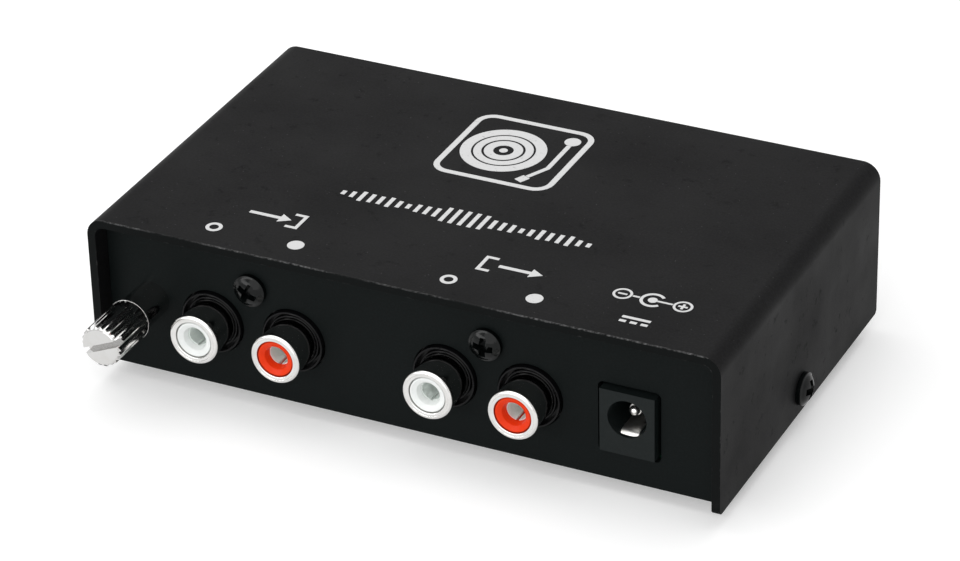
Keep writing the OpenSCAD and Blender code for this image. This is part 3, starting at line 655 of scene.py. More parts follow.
@dataclass
class Draft:
    """A mesh being drawn, in millimetres."""

    mesh: bmesh.types.BMesh = field(default_factory=bmesh.new)

    def row(self, points: Sequence[Sequence[float]]) -> list[bmesh.types.BMVert]:
        """Adds a row of vertices at these points."""
        return [self.mesh.verts.new(Vector(p) * MM) for p in points]

    def skin(self, rows: Sequence[list[bmesh.types.BMVert]], loop: bool = False) -> None:
        """Fills between rows of vertices, each of which closes on itself.

        Args:
            rows: rows of as many vertices each, where a row of one is a point.
            loop: whether the last row runs on to the first.
        """
        pairs = list(zip(rows, rows[1:]))
        if loop:
            pairs.append((rows[-1], rows[0]))
        for a, b in pairs:
            count = max(len(a), len(b))
            for i in range(count):
                j = (i + 1) % count
                corners = [a[i % len(a)], a[j % len(a)], b[j % len(b)], b[i % len(b)]]
                face = list(dict.fromkeys(corners))
                if len(face) > 2:
                    self.mesh.faces.new(face)

    def turned(
        self, x: float, z: float, profile: Sequence[Point], steps: int = 72, loop: bool = False
    ) -> "Draft":
        """Turns a profile round a line along Y.

        Args:
            x: the line's X.
            z: the line's Z.
            profile: radius and Y of each point; a radius of 0 closes an end.
            steps: how many pieces a turn has.
            loop: whether the profile closes on itself.

        Returns:
            This draft.
        """
        angles = [2 * math.pi * k / steps for k in range(steps)]
        rows = []
        for r, y in profile:
            ring = angles if r > 0 else angles[:1]
            rows.append(self.row([(x + r * math.cos(a), y, z + r * math.sin(a)) for a in ring]))
        self.skin(rows, loop=loop)
        return self

    def rod(self, x: float, z: float, radius: float, start: float, end: float, steps: int) -> "Draft":
        """A round bar along Y from one end to the other."""
        return self.turned(x, z, [(0, start), (radius, start), (radius, end), (0, end)], steps)

    def prism(
        self, outline: Sequence[Point], spots: Callable[[Point, float], Spot], start: float, end: float
    ) -> "Draft":
        """Runs an outline from one level to another, where spots places its points, and caps it."""
        return self.loft([[spots(p, level) for p in outline] for level in (start, end)])

    def loft(self, outlines: Sequence[Sequence[Sequence[float]]]) -> "Draft":
        """Skins outlines of as many points each, and caps both ends.

        Args:
            outlines: the points of each outline.

        Returns:
            This draft.
        """
        rows = [self.row(outline) for outline in outlines]
        self.skin(rows)
        self.mesh.faces.new(rows[0])
        self.mesh.faces.new(rows[-1])
        return self

    def plate(self, outline: Sequence[Point], bottom: float, top: float) -> "Draft":
        """A flat plate with this outline, lying level."""
        return self.prism(outline, lambda p, z: (p[0], p[1], z), bottom, top)

    def stroke(
        self, path: Sequence[Point], width: float, bottom: float, top: float, closed: bool = False
    ) -> "Draft":
        """A flat band of even width along a path, lying level.

        Args:
            path: points along the middle of the band.
            width: its width.
            bottom: its lower level.
            top: its upper level.
            closed: whether the path closes on itself.

        Returns:
            This draft.
        """
        # A sharp corner widens the band to twice its width at most.
        least = 0.5
        count = len(path)
        outlines = []
        for i, point in enumerate(path):
            here = Vector(point)
            before = Vector(path[i - 1]) if closed or i else here
            after = Vector(path[(i + 1) % count]) if closed or i < count - 1 else here
            come, leave = (here - before).normalized(), (after - here).normalized()
            along = (leave + come).normalized()
            lean = leave if after != here else come
            side = Vector((-along.y, along.x)) * (width / 2 / max(along.dot(lean), least))
            left, right = here + side, here - side
            outlines.append([(*left, bottom), (*left, top), (*right, top), (*right, bottom)])
        if not closed:
            return self.loft(outlines)
        self.skin([self.row(outline) for outline in outlines], loop=True)
        return self

    def block(self, lowest: Sequence[float], highest: Sequence[float]) -> "Draft":
        """Adds a box between two corners."""
        (x0, y0, z0), (x1, y1, z1) = lowest, highest
        return self.plate([(x0, y0), (x1, y0), (x1, y1), (x0, y1)], z0, z1)

    def turn_onto(self, matrix: Matrix) -> "Draft":
        """Moves everything drawn so far."""
        bmesh.ops.transform(self.mesh, matrix=matrix, verts=self.mesh.verts)
        return self

    def object(self, name: str, sharp: float = SHARP) -> bpy.types.Object:
        """Ends the draft as an object of the scene.

        Args:
            name: its name.
            sharp: angle in degrees from which an edge stays sharp.

        Returns:
            The object.
        """
        bmesh.ops.remove_doubles(self.mesh, verts=self.mesh.verts, dist=1e-7)
        bmesh.ops.recalc_face_normals(self.mesh, faces=self.mesh.faces)
        smooth(self.mesh, sharp)
        data = bpy.data.meshes.new(name)
        self.mesh.to_mesh(data)
        self.mesh.free()
        return new_object(name, data)


def circle(
    x: float, y: float, radius: float, steps: int = 40, start: float = 0.0, end: float = 360.0
) -> list[Point]:
    """Points on a circle or an arc.

    Args:
        x: the centre's first coordinate.
        y: the centre's second coordinate.
        radius: its radius.
        steps: how many points it has.
        start: first angle in degrees.
        end: last angle in degrees.

    Returns:
        The points, without the last one where the circle is whole.
    """
    whole = abs(end - start) >= 360
    gaps = steps if whole else steps - 1
    angles = [math.radians(start + (end - start) * k / gaps) for k in range(steps)]
    return [(x + radius * math.cos(a), y + radius * math.sin(a)) for a in angles]


def carve(target: bpy.types.Object, cutter: bpy.types.Object, sharp: float = SHARP) -> bpy.types.Object:
    """Cuts one mesh out of another for good, and deletes the cutter.

    Args:
        target: what is cut.
        cutter: what is taken away.
        sharp: angle in degrees from which an edge stays sharp.

    Returns:
        The target.
    """
    cut = target.modifiers.new("cut", "BOOLEAN")
    cut.operation = "DIFFERENCE"
    cut.solver = "EXACT"
    cut.object = cutter
    shown = target.evaluated_get(bpy.context.evaluated_depsgraph_get())
    data = bpy.data.meshes.new_from_object(shown)
    target.modifiers.clear()
    target.data = data
    bpy.data.objects.remove(cutter)
    work = bmesh.new()
    work.from_mesh(data)
    smooth(work, sharp)
    work.to_mesh(data)
    work.free()
    return target


def joined(name: str, pieces: Sequence[bpy.types.Object], sharp: float = SHARP) -> bpy.types.Object:
    """Puts several closed meshes into one object.

    Args:
        name: the new object's name.
        pieces: the objects, which are deleted.
        sharp: angle in degrees from which an edge stays sharp.

    Returns:
        The new object.
    """
    work = bmesh.new()
    for piece in pieces:
        work.from_mesh(piece.data)
        bpy.data.objects.remove(piece)
    return Draft(work).object(name, sharp)


def upright(spot: Point, level: float) -> Spot:
    """Places a point of an outline in X and Z at a Y."""
    return spot[0], level, spot[1]


def soften(
    piece: bpy.types.Object, width: float, segments: int = 3, angle: float = 38.0
) -> bpy.types.Object:
    """Rounds a piece's sharp edges.

    Args:
        piece: the object.
        width: how far the rounding reaches, in millimetres.
        segments: how many pieces it has.
        angle: smallest angle in degrees of an edge that is rounded.

    Returns:
        The piece.
    """
    bevel = piece.modifiers.new("soft_edges", "BEVEL")
    bevel.width = width * MM
    bevel.segments = segments
    bevel.limit_method = "ANGLE"
    bevel.angle_limit = math.radians(angle)
    bevel.harden_normals = True
    return piece


def dress(
    piece: bpy.types.Object, material: bpy.types.Material, slot: str, *nodes: str, body: str = "enclosure"
) -> bpy.types.Object:
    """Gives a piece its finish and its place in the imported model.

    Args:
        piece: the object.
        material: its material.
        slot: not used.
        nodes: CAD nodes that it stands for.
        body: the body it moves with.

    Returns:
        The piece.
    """
    piece.data.materials.clear()
    piece.data.materials.append(material)
    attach(piece, body)
    if nodes:
        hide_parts(*nodes)
    faces, stands_for = len(piece.data.polygons), nodes or "nothing"
    LOG.info("%s: %d faces, on %s, stands for %s", piece.name, faces, body, stands_for)
    return piece


def paint(material: bpy.types.Material, edge: float, *nodes: str) -> None:
    """Finishes CAD nodes that keep their own meshes.

    Args:
        material: their material.
        edge: rounding of their sharp edges in millimetres, or 0 for none.
        nodes: their names.
    """
    for node in nodes:
        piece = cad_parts[node]
        for held in piece.material_slots:
            held.material = material
        if edge:
            flat = piece.modifiers.new("flat_faces", "DECIMATE")
            flat.decimate_type = "DISSOLVE"
            flat.angle_limit = math.radians(FLAT)
            soften(piece, edge, 2)
        LOG.info("%s: kept from the packed model, %s", node, material.name)


# ---------------------------------------------------------------- sub-assemblies


@dataclass
class SteelCase:
    """The folded cover over the folded tray."""

    sheet: float = 1.4
    bend: float = 3.0
    bend_steps: int = 10
    corner: float = 0.9
    corner_steps: int = 6
    hole: float = 1.65
    print_depth: float = 0.03
    tray_sheet: float = 1.2
    flange_l: float = 36.0
    flange_h: float = 8.0
    notch: Point = (2.8, 2.0)
    socket_hole: float = 5.45
    screw_hole: float = 1.65
    tap_hole: float = 1.5
    ground_hole: float = 2.6
    power_gap: float = 0.65
    power_corner: float = 0.9
    overrun: float = 1.0
    side_overrun: float = 5.0
    cover_edge: float = 0.22
    tray_edge: float = 0.2
    coat: PowderCoat = PowderCoat(
        "cover_coat", (0.0034, 0.0034, 0.0036), 0.5,
        rubbed=(0.13, 0.13, 0.13), rubbed_line=(-25.9, 29.97),
    )
    panel_coat: PowderCoat = PowderCoat(
        "panel_coat", (0.0035, 0.005, 0.005), 0.45,
        speck=(0.007, 0.009, 0.009), wear=0.2, depth=0.006,
    )

    def build(self) -> None:
        """Builds the cover and the tray."""
        self.cover()
        self.tray()

    def side_drill(self, radius: float, half: float) -> bpy.types.Object:
        """A drill along X through both cover screws.

        Args:
            radius: its radius.
            half: half the width that it runs through.

        Returns:
            The drill.
        """
        screw = middle("cover_screw_right")
        reach = half + self.side_overrun
        drill = Draft().rod(0, 0, radius, -reach, reach, steps=32)
        return drill.turn_onto(stand((0, screw.y, screw.z), 90, "Z")).object("drill")

    def section(self, depth: float, half: float, base: float, top: float) -> list[Point]:
        """The cover's U at some depth in its sheet, from one lower edge to the other.

        Args:
            depth: how far under the outer face.
            half: half the cover's width.
            base: its lower level.
            top: its upper level.

        Returns:
            X and Z of each point.
        """
        side, roof, bend = half - depth, top - depth, self.bend - depth
        corners = [(side, base, 0), (side, roof, bend), (-side, roof, bend), (-side, base, 0)]
        bent = rounded(corners, closed=False, steps=self.bend_steps)[1:-1]
        quarter = [math.pi / 2 * k / self.corner_steps for k in range(self.corner_steps)]
        lifts = [self.corner * (1 - math.cos(angle)) for angle in quarter]
        return [(side, base + h) for h in lifts] + bent + [(-side, base + h) for h in reversed(lifts)]

    def cover(self) -> None:
        """The cover, lofted round its U section, with its lower corners rounded."""
        lowest, highest = low("top_cover"), high("top_cover")
        half, base, top = highest.x, lowest.z, highest.z - self.print_depth
        outer, inner = (self.section(depth, half, base, top) for depth in (0.0, self.sheet))
        outlines = []
        for (xo, zo), (xi, zi) in zip(outer, inner):
            gap = max(self.corner - (zo - base), 0.0)
            inset = self.corner - math.sqrt(max(self.corner ** 2 - gap ** 2, 0.0))
            front, back = lowest.y + inset, highest.y - inset
            outlines.append([(xo, front, zo), (xo, back, zo), (xi, back, zi), (xi, front, zi)])
        cover = Draft().loft(outlines).object("folded_cover")
        carve(cover, self.side_drill(self.hole, half))
        dress(soften(cover, self.cover_edge), self.coat.material(), "cover_coat", "top_cover")

    def tray(self) -> None:
        """The tray: its floor and end panels in one, with a flange on each side."""
        lowest, highest = low("tray"), high("tray")
        half, front, back, base, top = highest.x, lowest.y, highest.y, lowest.z, highest.z
        thick, arch, over = self.tray_sheet, self.bend - self.sheet, self.overrun
        outline = rounded([(-half, base, 0), (half, base, 0), (half, top, arch), (-half, top, arch)])
        tray = Draft().prism(outline, upright, front, back).object("tray_block")
        room = (half + over, back - thick, top + over)
        hollow = Draft().block((-half - over, front + thick, base + thick), room)
        carve(tray, hollow.object("hollow"))
        self.openings(tray, front - over, front + thick + over)
        flanges = self.flanges(tray, half, base, (front + back) / 2)
        whole = joined("folded_tray", [tray, *flanges])
        dress(soften(whole, self.tray_edge), self.panel_coat.material(), "panel_coat", "tray")

    def openings(self, tray: bpy.types.Object, start: float, end: float) -> None:
        """Cuts the panel's openings for the sockets, their screws, the ground post and the power socket.

        Args:
            tray: the tray.
            start: Y in front of the panel.
            end: Y behind it.
        """
        holes = [(f"{pair}_{side}_insulator", self.socket_hole) for pair in PAIRS for side in SIDES]
        holes += [(f"{pair}_socket_screw", self.screw_hole) for pair in PAIRS]
        holes.append(("ground_washer", self.ground_hole))
        for node, radius in holes:
            spot = middle(node)
            drill = Draft().rod(spot.x, spot.z, radius, start, end, steps=96)
            carve(tray, drill.object("drill"))
        gap, least, most = self.power_gap, low("power_socket_body"), high("power_socket_body")
        slot = rounded_box((least.x - gap, least.z - gap), (most.x + gap, most.z + gap), self.power_corner)
        carve(tray, Draft().prism(slot, upright, start, end).object("slot"))

    def flanges(
        self, tray: bpy.types.Object, half: float, base: float, centre: float
    ) -> list[bpy.types.Object]:
        """Notches the tray's long folds, and makes a flange between the two notches of each side.

        Args:
            tray: the tray.
            half: half its width.
            base: its lower level.
            centre: its middle in Y.

        Returns:
            The two flanges, each with its tapped hole.
        """
        thick, over = self.tray_sheet, self.overrun
        deep, wide = self.notch
        start, end = centre - self.flange_l / 2, centre + self.flange_l / 2
        flanges = []
        for side in (-1, 1):
            for y in (start - wide, end):
                highest = (side * half + deep, y + wide, base + thick + over)
                notch = Draft().block((side * half - deep, y, base - over), highest)
                carve(tray, notch.object("notch"))
            left, right = sorted((side * half, side * (half - thick)))
            flange = Draft().block((left, start, base), (right, end, base + self.flange_h)).object("flange")
            flanges.append(carve(flange, self.side_drill(self.tap_hole, half)))
        return flanges


@dataclass
class CoverPrints:
    """Pale pictograms on the cover: what each socket is for, and a record player."""

    line: float = 0.6
    thickness: float = 0.06
    arrow_y: float = -14.0
    channel_y: float = -20.6
    dot_r: float = 1.35
    player: Point = (-1.4, 19.8)
    player_half: float = 9.9
    player_corner: float = 2.6
    record: Point = (-1.8, -0.2)
    record_rings: tuple[Point, ...] = ((6.1, 1.8), (4.2, 1.3), (2.4, 1.5))
    arm: tuple[Point, ...] = ((7.2, 5.3), (7.2, -2.8), (5.35, -6.6))
    cartridge: tuple[Point, ...] = ((5.32, -6.66), (4.5, -8.35))
    pivot: Point = (7.2, 6.7)
    bars: Point = (0.8, -2.8)
    bar_count: int = 27
    bar_pitch: float = 1.62
    ink: Ink = Ink("print_ink", (0.68, 0.68, 0.68), 0.5)
    top: float = field(init=False)
    bottom: float = field(init=False)
    shade: bpy.types.Material = field(init=False)

    def build(self) -> None:
        """Prints each pictogram."""
        self.top = high("top_cover").z
        self.bottom = self.top - self.thickness
        self.shade = self.ink.material()
        for pair in PAIRS:
            self.way(pair)
            self.channels(pair)
        power = middle("power_socket_body").x
        self.polarity(power)
        self.direct_current(power)
        self.record_player()
        self.level_bars()

    def finish(self, name: str, draft: Draft) -> None:
        """Ends one pictogram."""
        dress(draft.object(name), self.shade, "cover_coat")

    def band(self, draft: Draft, path: Sequence[Point], closed: bool = False, width: float = 0.0) -> None:
        """Prints a line along a path."""
        draft.stroke(path, width or self.line, self.bottom, self.top, closed)

    def patch(self, draft: Draft, outline: Sequence[Point]) -> None:
        """Prints a filled shape."""
        draft.plate(outline, self.bottom, self.top)

    def way(self, pair: str) -> None:
        """An arrow that goes into a bracket over the input pair, and comes out of one over the output pair.

        Args:
            pair: which pair.
        """
        draft = Draft()
        half, lip, head, barb, point = 1.9, 1.9, 1.5, 1.25, 0.5
        reach, length, tip_x, shift, stem = 4.6, 6.8, 2.4, 0.55, 0.75
        y = self.arrow_y
        x = (middle(f"{pair}_left_insulator").x + middle(f"{pair}_right_insulator").x) / 2
        inward = pair == "input"
        side = 1 if inward else -1
        edge = x + side * reach
        ends = edge - side * lip
        self.band(draft, [(ends, y + half), (edge, y + half), (edge, y - half), (ends, y - half)])
        tip = x + tip_x + (0.0 if inward else reach * shift)
        self.band(draft, [(tip - length, y), (tip - head, y)], width=stem)
        self.patch(draft, [(tip - head, y + barb), (tip - head, y - barb), (tip + point, y)])
        self.finish(f"{pair}_arrow_print", draft)

    def channels(self, pair: str) -> None:
        """An open ring over the left socket and a full dot over the right one.

        Args:
            pair: which pair.
        """
        draft = Draft()
        left = middle(f"{pair}_left_insulator").x
        right = middle(f"{pair}_right_insulator").x
        self.band(draft, circle(left, self.channel_y, self.dot_r - self.line / 2), closed=True)
        self.patch(draft, circle(right, self.channel_y, self.dot_r))
        self.finish(f"{pair}_channel_prints", draft)

    def polarity(self, x: float) -> None:
        """The sign for a socket whose pin is positive.

        Args:
            x: middle of the sign.
        """
        draft = Draft()
        y, thin = self.arrow_y, 0.4
        far, ring_r, half = 4.9, 1.35, 0.75
        cup_r, cup_line, cup_end = 1.75, 0.5, 2.1
        core_r, core_end, gap = 0.75, 0.77, 0.3
        for sign in (x - far, x + far):
            self.band(draft, circle(sign, y, ring_r), closed=True, width=thin)
            self.band(draft, [(sign - half, y), (sign + half, y)], width=thin)
        for start, end in ((-half, -thin / 2), (thin / 2, half)):
            self.band(draft, [(x + far, y + start), (x + far, y + end)], width=thin)
        self.band(draft, circle(x, y, cup_r, steps=30, start=40, end=320), width=cup_line)
        self.patch(draft, circle(x, y, core_r, steps=24))
        self.band(draft, [(x - far + ring_r + gap, y), (x - cup_end, y)], width=thin)
        self.band(draft, [(x + core_end, y), (x + far - ring_r - gap, y)], width=thin)
        self.finish("polarity_print", draft)

    def direct_current(self, x: float) -> None:
        """The sign for direct current: a line over three dashes.

        Args:
            x: middle of the sign.
        """
        draft = Draft()
        half, lift, dash, pitch = 2.3, 0.6, 0.55, 1.75
        over, under = self.channel_y + lift, self.channel_y - lift
        self.band(draft, [(x - half, over), (x + half, over)])
        for k in (-1, 0, 1):
            self.band(draft, [(x + k * pitch - dash, under), (x + k * pitch + dash, under)])
        self.finish("direct_current_print", draft)

    def record_player(self) -> None:
        """A record player seen from above: its plinth, record and arm."""
        draft = Draft()
        plinth_line, arm_line, cartridge_line, spindle_r, pivot_r = 1.0, 0.8, 1.5, 0.7, 1.35
        (x, y), half = self.player, self.player_half
        plinth = rounded_box((x - half, y - half), (x + half, y + half), self.player_corner)
        self.band(draft, plinth, closed=True, width=plinth_line)
        cx, cy = x + self.record[0], y + self.record[1]
        for middle_r, width in self.record_rings:
            self.band(draft, circle(cx, cy, middle_r, steps=72), closed=True, width=width)
        self.patch(draft, circle(cx, cy, spindle_r, steps=24))
        self.patch(draft, circle(x + self.pivot[0], y + self.pivot[1], pivot_r, steps=32))
        for path, width in ((self.arm, arm_line), (self.cartridge, cartridge_line)):
            self.band(draft, [(x + u, y + v) for u, v in path], width=width)
        self.finish("record_player_print", draft)

    def level_bars(self) -> None:
        """A row of upright bars, like sound on a screen."""
        draft = Draft()
        shortest, swing, width, waves, ripples = 0.5, 1.75, 0.72, 7.3, 13
        half = (self.bar_count - 1) / 2
        centre, y = self.bars
        for k in range(self.bar_count):
            u = (k - half) / half
            swell = (1 - u * u) * (0.55 + 0.45 * math.cos(waves * u)) + 0.3 * math.sin(ripples * u) ** 2
            tall = shortest + swing * min(swell, 1.0)
            x = centre + (k - half) * self.bar_pitch
            self.band(draft, [(x, y - tall), (x, y + tall)], width=width)
        self.finish("level_bars_print", draft)


@dataclass
class SignalSockets:
    """Four phono sockets on two plastic bodies."""

    lip_r: float = 4.2
    barrel_r: float = 4.0
    bore_r: float = 3.1
    lip_l: float = 1.1
    lip_edge: Point = (3.58, 3.64)
    lip_step: float = 0.07
    neck_l: float = 0.12
    leg: Point = (1.6, 0.8)
    leg_y: float = -19.5
    insulator_r: float = 3.05
    relief: float = 0.11
    relief_l: Point = (0.7, 0.75)
    funnel_r: float = 2.72
    funnel_l: float = 0.4
    mouth_r: float = 2.0
    hole_r: float = 1.72
    seat_step: float = 0.3
    tail_r: float = 0.7
    chamber_r: float = 2.15
    chamber_l: float = 7.1
    collar_r: float = 5.2
    collar_gap: float = 0.1
    ridge: float = 0.28
    ridge_slope: float = 0.05
    inner_ridge_l: float = 0.5
    groove_y: float = -22.0
    panel_back: float = -21.5
    body_gap: float = 0.05
    body_trim: float = 0.45
    boss_w: float = 6.0
    boss_hole_r: float = 1.5
    boss_hole_l: float = 4.2
    overrun: float = 1.0
    body_edge: float = 0.02
    plastic: Moulding = Moulding(
        "black_plastic", (0.003, 0.003, 0.0035), 0.2, marked=(0.005, 0.005, 0.0055), specular=0.13,
    )
    white: Moulding = Moulding(
        "white_insulator", (0.88, 0.9, 0.885), 0.34, marked=(0.84, 0.86, 0.85), specular=0.4,
    )
    red: Moulding = Moulding(
        "red_insulator", (0.8, 0.043, 0.006), 0.25, marked=(0.74, 0.038, 0.005), specular=0.1,
    )

    def build(self) -> None:
        """Builds each pair: its plastic body, then the barrel, insulator and contact of each socket."""
        plastic, white, red = self.plastic.material(), self.white.material(), self.red.material()
        shades = ((white, "white_insulator"), (red, "red_insulator"))
        for pair in PAIRS:
            self.holder(pair, plastic)
            for side, (shade, slot) in zip(SIDES, shades):
                name = f"{pair}_{side}"
                self.barrel(name)
                self.insulator(name, shade, slot)
                self.contact(name)

    def axis(self, name: str) -> Point:
        """X and Z of a socket's axis, in millimetres."""
        spot = middle(f"{name}_insulator")
        return spot.x, spot.z

    def barrel(self, name: str) -> None:
        """The plated barrel with its rolled lip and its earth leg.

        Args:
            name: which socket.
        """
        x, z = self.axis(name)
        node = f"{name}_shell"
        mouth, back, foot = low(node).y, high(node).y, low(node).z
        sunk, neck = mouth + self.lip_step, mouth + self.lip_l
        profile = rounded([
            (self.bore_r, sunk, 0.18), (self.lip_edge[0], sunk, 0.04), (self.lip_edge[1], mouth, 0.05),
            (self.lip_r, mouth, 0.52), (self.lip_r, neck, 0.3), (self.barrel_r, neck + self.neck_l, 0.05),
            (self.barrel_r, back, 0.1), (self.bore_r, back, 0.1),
        ], steps=8)
        draft = Draft().turned(x, z, profile, ROUND, loop=True)
        wide, thick = self.leg
        joint = (x + wide / 2, self.leg_y + thick / 2, z - (self.barrel_r + self.bore_r) / 2)
        draft.block((x - wide / 2, self.leg_y - thick / 2, foot), joint)
        plated = Plating(f"nickel_{name}", (0.68, 0.675, 0.66), 0.1, centre=(x, z))
        dress(draft.object(f"{name}_barrel"), plated.material(), "socket_nickel", node)

    def insulator(self, name: str, shade: bpy.types.Material, slot: str) -> None:
        """The coloured insulator with its funnel and plug hole.

        Args:
            name: which socket.
            shade: its material.
            slot: the record's slot.
        """
        x, z = self.axis(name)
        node = f"{name}_insulator"
        mouth, back, seat = low(node).y, high(node).y, low(f"{name}_contact").y
        chamber_end = seat + self.chamber_l
        relieved = self.insulator_r - self.relief
        profile = rounded([
            (self.funnel_r, mouth, 0.08), (relieved, mouth, 0.1), (relieved, mouth + self.relief_l[0], 0.05),
            (self.insulator_r, mouth + self.relief_l[1], 0), (self.insulator_r, back, 0),
            (self.tail_r, back, 0), (self.tail_r, chamber_end, 0),
            (self.chamber_r, chamber_end, 0), (self.chamber_r, seat, 0),
            (self.hole_r, seat, 0), (self.hole_r, seat - self.seat_step, 0.1),
            (self.mouth_r, mouth + self.funnel_l, 0.15),
        ], steps=5)
        liner = Draft().turned(x, z, profile, ROUND, loop=True).object(f"{name}_liner")
        dress(liner, shade, slot, node)

    def contact(self, name: str) -> None:
        """The split tube that grips the plug's pin.

        Args:
            name: which socket.
        """
        x, z = self.axis(name)
        metal = Plating(f"tinned_{name}", (0.9, 0.93, 0.91), 0.62, centre=(x, z), stained=(0.8, 0.83, 0.81))
        paint(metal.material(), 0, f"{name}_contact")

    def collar(self, x: float, z: float) -> bpy.types.Object:
        """A round collar with two ridges that fills the panel's hole round a barrel.

        Args:
            x: the socket's X.
            z: the socket's Z.

        Returns:
            The collar.
        """
        front, base = low("input_socket_body").y, self.panel_back
        outer, inner = self.collar_r, self.barrel_r + self.collar_gap
        ridge, groove, step = self.ridge, self.groove_y, front + self.inner_ridge_l
        profile = rounded([
            (outer, base, 0), (outer, front, 0.1), (outer - ridge, front, 0),
            (outer - ridge - self.ridge_slope, groove, 0), (inner + ridge, groove, 0),
            (inner + ridge, step, 0.14), (inner, step, 0), (inner, base, 0),
        ], steps=7)
        return Draft().turned(x, z, profile, ROUND, loop=True).object("collar")

    def holder(self, pair: str, plastic: bpy.types.Material) -> None:
        """The plastic body of a pair, with a collar round each barrel and a boss for the screw.

        Args:
            pair: which pair.
            plastic: its material.
        """
        node = f"{pair}_socket_body"
        lowest, highest = low(node), high(node)
        front, base, back = self.panel_back, lowest.z, highest.y
        x = (lowest.x + highest.x) / 2
        top = 2 * self.axis(f"{pair}_left")[1] - base - self.body_trim
        draft = Draft().block((lowest.x, front, base), (highest.x, back, top))
        draft.block((x - self.boss_w / 2, front, base), (x + self.boss_w / 2, back, highest.z))
        body = draft.object(f"{pair}_holder_block")
        sockets = [self.axis(f"{pair}_{side}") for side in SIDES]
        bores = [(*spot, self.barrel_r + self.body_gap, back + self.overrun) for spot in sockets]
        bores.append((x, middle(f"{pair}_socket_screw").z, self.boss_hole_r, front + self.boss_hole_l))
        for bore_x, bore_z, radius, end in bores:
            drill = Draft().rod(bore_x, bore_z, radius, front - self.overrun, end, steps=64)
            carve(body, drill.object("drill"))
        collars = [self.collar(*spot) for spot in sockets]
        whole = joined(f"{pair}_holder", [body, *collars])
        soften(dress(whole, plastic, "black_plastic", node), self.body_edge)


@dataclass
class PanHeadScrews:
    """Black cross-head screws with a domed head, in the panel and through the cover's sides."""

    head_r: float = 2.7
    head_h: float = 1.8
    dome: float = 0.9
    rim: float = 0.28
    rim_lift: float = 0.1
    shank_r: float = 1.45
    root_r: float = 1.15
    pitch: float = 0.55
    thread_start: float = 0.2
    tip: Point = (0.25, 0.3)
    length: float = 5.0
    arm: Point = (3.8, 1.16)
    root: Point = (2.2, 0.8)
    depth: float = 1.6
    overrun: float = 0.2
    edge: float = 0.06
    sharp: float = 40.0
    turns: tuple[float, ...] = (28.0, 4.0, 35.0, 12.0)
    oxide: BlackOxide = BlackOxide("black_screw", (0.0022, 0.003, 0.003), 0.15)

    def build(self) -> None:
        """Builds the four screws."""
        shade = self.oxide.material()
        nodes = ("input_socket_screw", "output_socket_screw", "cover_screw_left", "cover_screw_right")
        facing = (0.0, 0.0, -90.0, 90.0)
        for node, angle, turn in zip(nodes, facing, self.turns):
            spot = middle(node)
            if angle == 0:
                spot.y = low(node).y + self.head_h
            else:
                spot.x = math.copysign(abs(high("top_cover").x), angle)
            where = stand(spot, angle, "Z")
            name = node.replace("screw", "cross_screw")
            screw = self.screw(name, where @ Matrix.Rotation(math.radians(turn), 4, "Y"))
            dress(screw, shade, "black_screw", node)

    def profile(self) -> list[Point]:
        """A screw's outline from the dome's middle to the tip, with the head towards -Y.

        Returns:
            Radius and Y of each point.
        """
        dome_steps = 10
        reach = self.head_r - self.rim
        ball = (reach ** 2 + self.dome ** 2) / (2 * self.dome)
        sweep = math.asin(reach / ball)
        points = [(0.0, -self.head_h)]
        for k in range(1, dome_steps + 1):
            a = sweep * k / dome_steps
            points.append((ball * math.sin(a), -self.head_h + ball * (1 - math.cos(a))))
        edge = points[-1][1]
        rim = [(reach, edge, 0), (self.head_r, edge + self.rim_lift, 0.12), (self.head_r, 0, 0.08)]
        points += rounded([*rim, (self.shank_r, 0, 0)], closed=False, steps=4)[1:]
        y = self.thread_start
        while y + self.pitch < self.length:
            points += [(self.root_r, y), (self.root_r, y + self.pitch * 0.3)]
            points.append((self.shank_r, y + self.pitch * 0.6))
            y += self.pitch
        narrow, taper = self.tip
        points += [(self.root_r, self.length - taper), (self.root_r - narrow, self.length), (0, self.length)]
        return points

    def screw(self, name: str, where: Matrix) -> bpy.types.Object:
        """One screw with its tapered cross.

        Args:
            name: the piece's name.
            where: from its own place, with the head towards -Y, to the frame.

        Returns:
            The screw.
        """
        screw = Draft().turned(0, 0, self.profile()).turn_onto(where).object(name, self.sharp)
        top, bottom = -self.head_h - self.overrun, -self.head_h + self.depth
        outlines = []
        for y, (long, wide) in ((top, self.arm), (bottom, self.root)):
            outlines.append([(u * long / 2, y, v * wide / 2) for u, v in SQUARE])
        for quarter in (0.0, 90.0):
            cutter = Draft().loft(outlines).turn_onto(where @ Matrix.Rotation(math.radians(quarter), 4, "Y"))
            carve(screw, cutter.object("cross"), self.sharp)
        return soften(screw, self.edge, segments=2, angle=self.sharp)


